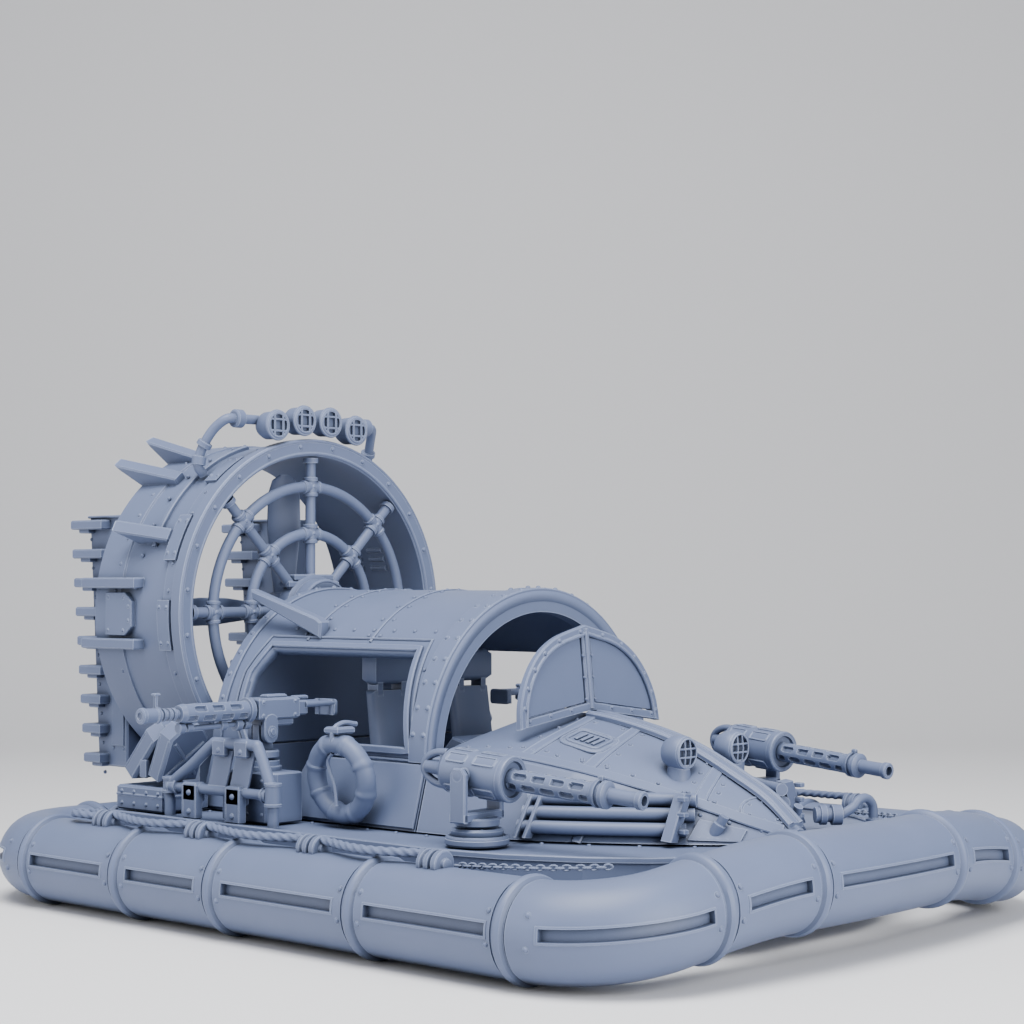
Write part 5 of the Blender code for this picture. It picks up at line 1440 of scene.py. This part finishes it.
class HOVERCRAFT_OT_kept(PieceOperator, bpy.types.Operator):
    """The resin finish on the solids that stay as they are"""
    bl_idname = "hovercraft.kept"
    bl_label = "Kept solids"

    def execute(self, context):
        plate = finish_of(self.settings, "plate")
        for name in ("deck", "cab_tub"):
            for k in range(max(1, len(NODES[name].material_slots))):
                NODES[name].material_slots[k].material = plate
        return {"FINISHED"}


class HOVERCRAFT_OT_stage(PieceOperator, bpy.types.Operator):
    """Curved pale backdrop, soft studio light and the camera"""
    bl_idname = "hovercraft.stage"
    bl_label = "Stage"

    def execute(self, context):
        make_stage(self.settings)
        return {"FINISHED"}


def area_light(name, at, target, size, power):
    lamp_data = bpy.data.lights.new(name, "AREA")
    lamp_data.size = size * MM
    lamp_data.energy = power
    item = bpy.data.objects.new(name, lamp_data)
    bpy.context.scene.collection.objects.link(item)
    place = Vector(at) * MM
    aim = Vector(target) * MM
    item.location = place
    item.rotation_euler = (aim - place).to_track_quat("-Z", "Y").to_euler()
    return item


# Camera: place in the drawing frame, heading, slope, and focal length in sensor widths
CAMERA_AT = (228.9, -249.8, 51.5)
CAMERA_YAW = 0.8282
CAMERA_PITCH = -0.0332
CAMERA_LENS = 73.79


def make_stage(settings):
    back = math.pi / 2 + CAMERA_YAW
    away = np.array((-math.cos(CAMERA_YAW), math.sin(CAMERA_YAW), 0))
    side = np.array((math.sin(CAMERA_YAW), math.cos(CAMERA_YAW), 0))
    s = np.concatenate([np.linspace(-900, 320, 8), 320 + 220 * np.sin(np.linspace(0, math.pi / 2, 16)[1:]), [540.0]])
    z = np.concatenate([np.zeros(8), 220 * (1 - np.cos(np.linspace(0, math.pi / 2, 16)[1:])), [900.0]])
    w = np.linspace(-900, 900, 9)
    points = s[:, None, None] * away + w[None, :, None] * side + z[:, None, None] * np.array((0, 0, 1.0))
    verts, faces = grid(points)
    mesh = bpy.data.meshes.new("backdrop")
    mesh.from_pydata(((verts + (ORIGIN_X, 0, 0)) * MM).tolist(), [], faces.tolist())
    mesh.shade_smooth()
    floor = bpy.data.objects.new("backdrop", mesh)
    bpy.context.scene.collection.objects.link(floor)
    matte = bpy.data.materials.new("backdrop_matte")
    matte.use_nodes = True
    shader = matte.node_tree.nodes["Principled BSDF"]
    shader.inputs["Base Color"].default_value = linear(settings.floor_colour)
    shader.inputs["Roughness"].default_value = 0.9
    mesh.materials.append(matte)
    aim = (0, 0, 35)
    area_light("key", (60, -130, 420), aim, 260, 3.6)
    area_light("front", (420, -60, 160), aim, 300, 2.2)
    area_light("fill", (-200, -380, 140), aim, 340, 0.9)
    world = bpy.data.worlds.new("studio")
    bpy.context.scene.world = world
    world.use_nodes = True
    world.node_tree.nodes["Background"].inputs["Color"].default_value = linear("#E6E9F2")
    world.node_tree.nodes["Background"].inputs["Strength"].default_value = 0.35
    data = bpy.data.cameras.new("camera")
    item = bpy.data.objects.new("camera", data)
    bpy.context.scene.collection.objects.link(item)
    data.lens = CAMERA_LENS
    data.sensor_width = 36.0
    data.clip_start = 0.01
    slope = math.cos(CAMERA_PITCH)
    look = Vector((-math.cos(CAMERA_YAW) * slope, math.sin(CAMERA_YAW) * slope, -math.sin(CAMERA_PITCH)))
    right = Vector((math.sin(CAMERA_YAW), math.cos(CAMERA_YAW), 0))
    up = right.cross(look)
    item.matrix_world = Matrix((right, up, -look)).transposed().to_4x4()
    item.location = (Vector(CAMERA_AT) + Vector((ORIGIN_X, 0, 0))) * MM
    bpy.context.scene.camera = item


class HOVERCRAFT_PT_panel(bpy.types.Panel):
    """Lists the settings and the steps"""
    bl_label = "Hovercraft"
    bl_idname = "HOVERCRAFT_PT_panel"
    bl_space_type = "VIEW_3D"
    bl_region_type = "UI"
    bl_category = "Hovercraft"

    def draw(self, context):
        column = self.layout.column(align=True)
        for key in HovercraftSettings.__annotations__:
            column.prop(context.scene.hovercraft, key)
        for step in STEPS:
            self.layout.operator(step.bl_idname)


STEPS = (HOVERCRAFT_OT_skirt, HOVERCRAFT_OT_hull, HOVERCRAFT_OT_fan, HOVERCRAFT_OT_fittings, HOVERCRAFT_OT_guns,
         HOVERCRAFT_OT_kept, HOVERCRAFT_OT_stage)
CLASSES = (HovercraftSettings, *STEPS, HOVERCRAFT_PT_panel)


def register():
    for item in CLASSES:
        bpy.utils.register_class(item)
    bpy.types.Scene.hovercraft = bpy.props.PointerProperty(type=HovercraftSettings)


def unregister():
    del bpy.types.Scene.hovercraft
    for item in reversed(CLASSES):
        bpy.utils.unregister_class(item)


def main():
    register()
    for step in STEPS:
        group, name = step.bl_idname.split(".")
        getattr(getattr(bpy.ops, group), name)()


if __name__ == "__main__":
    main()
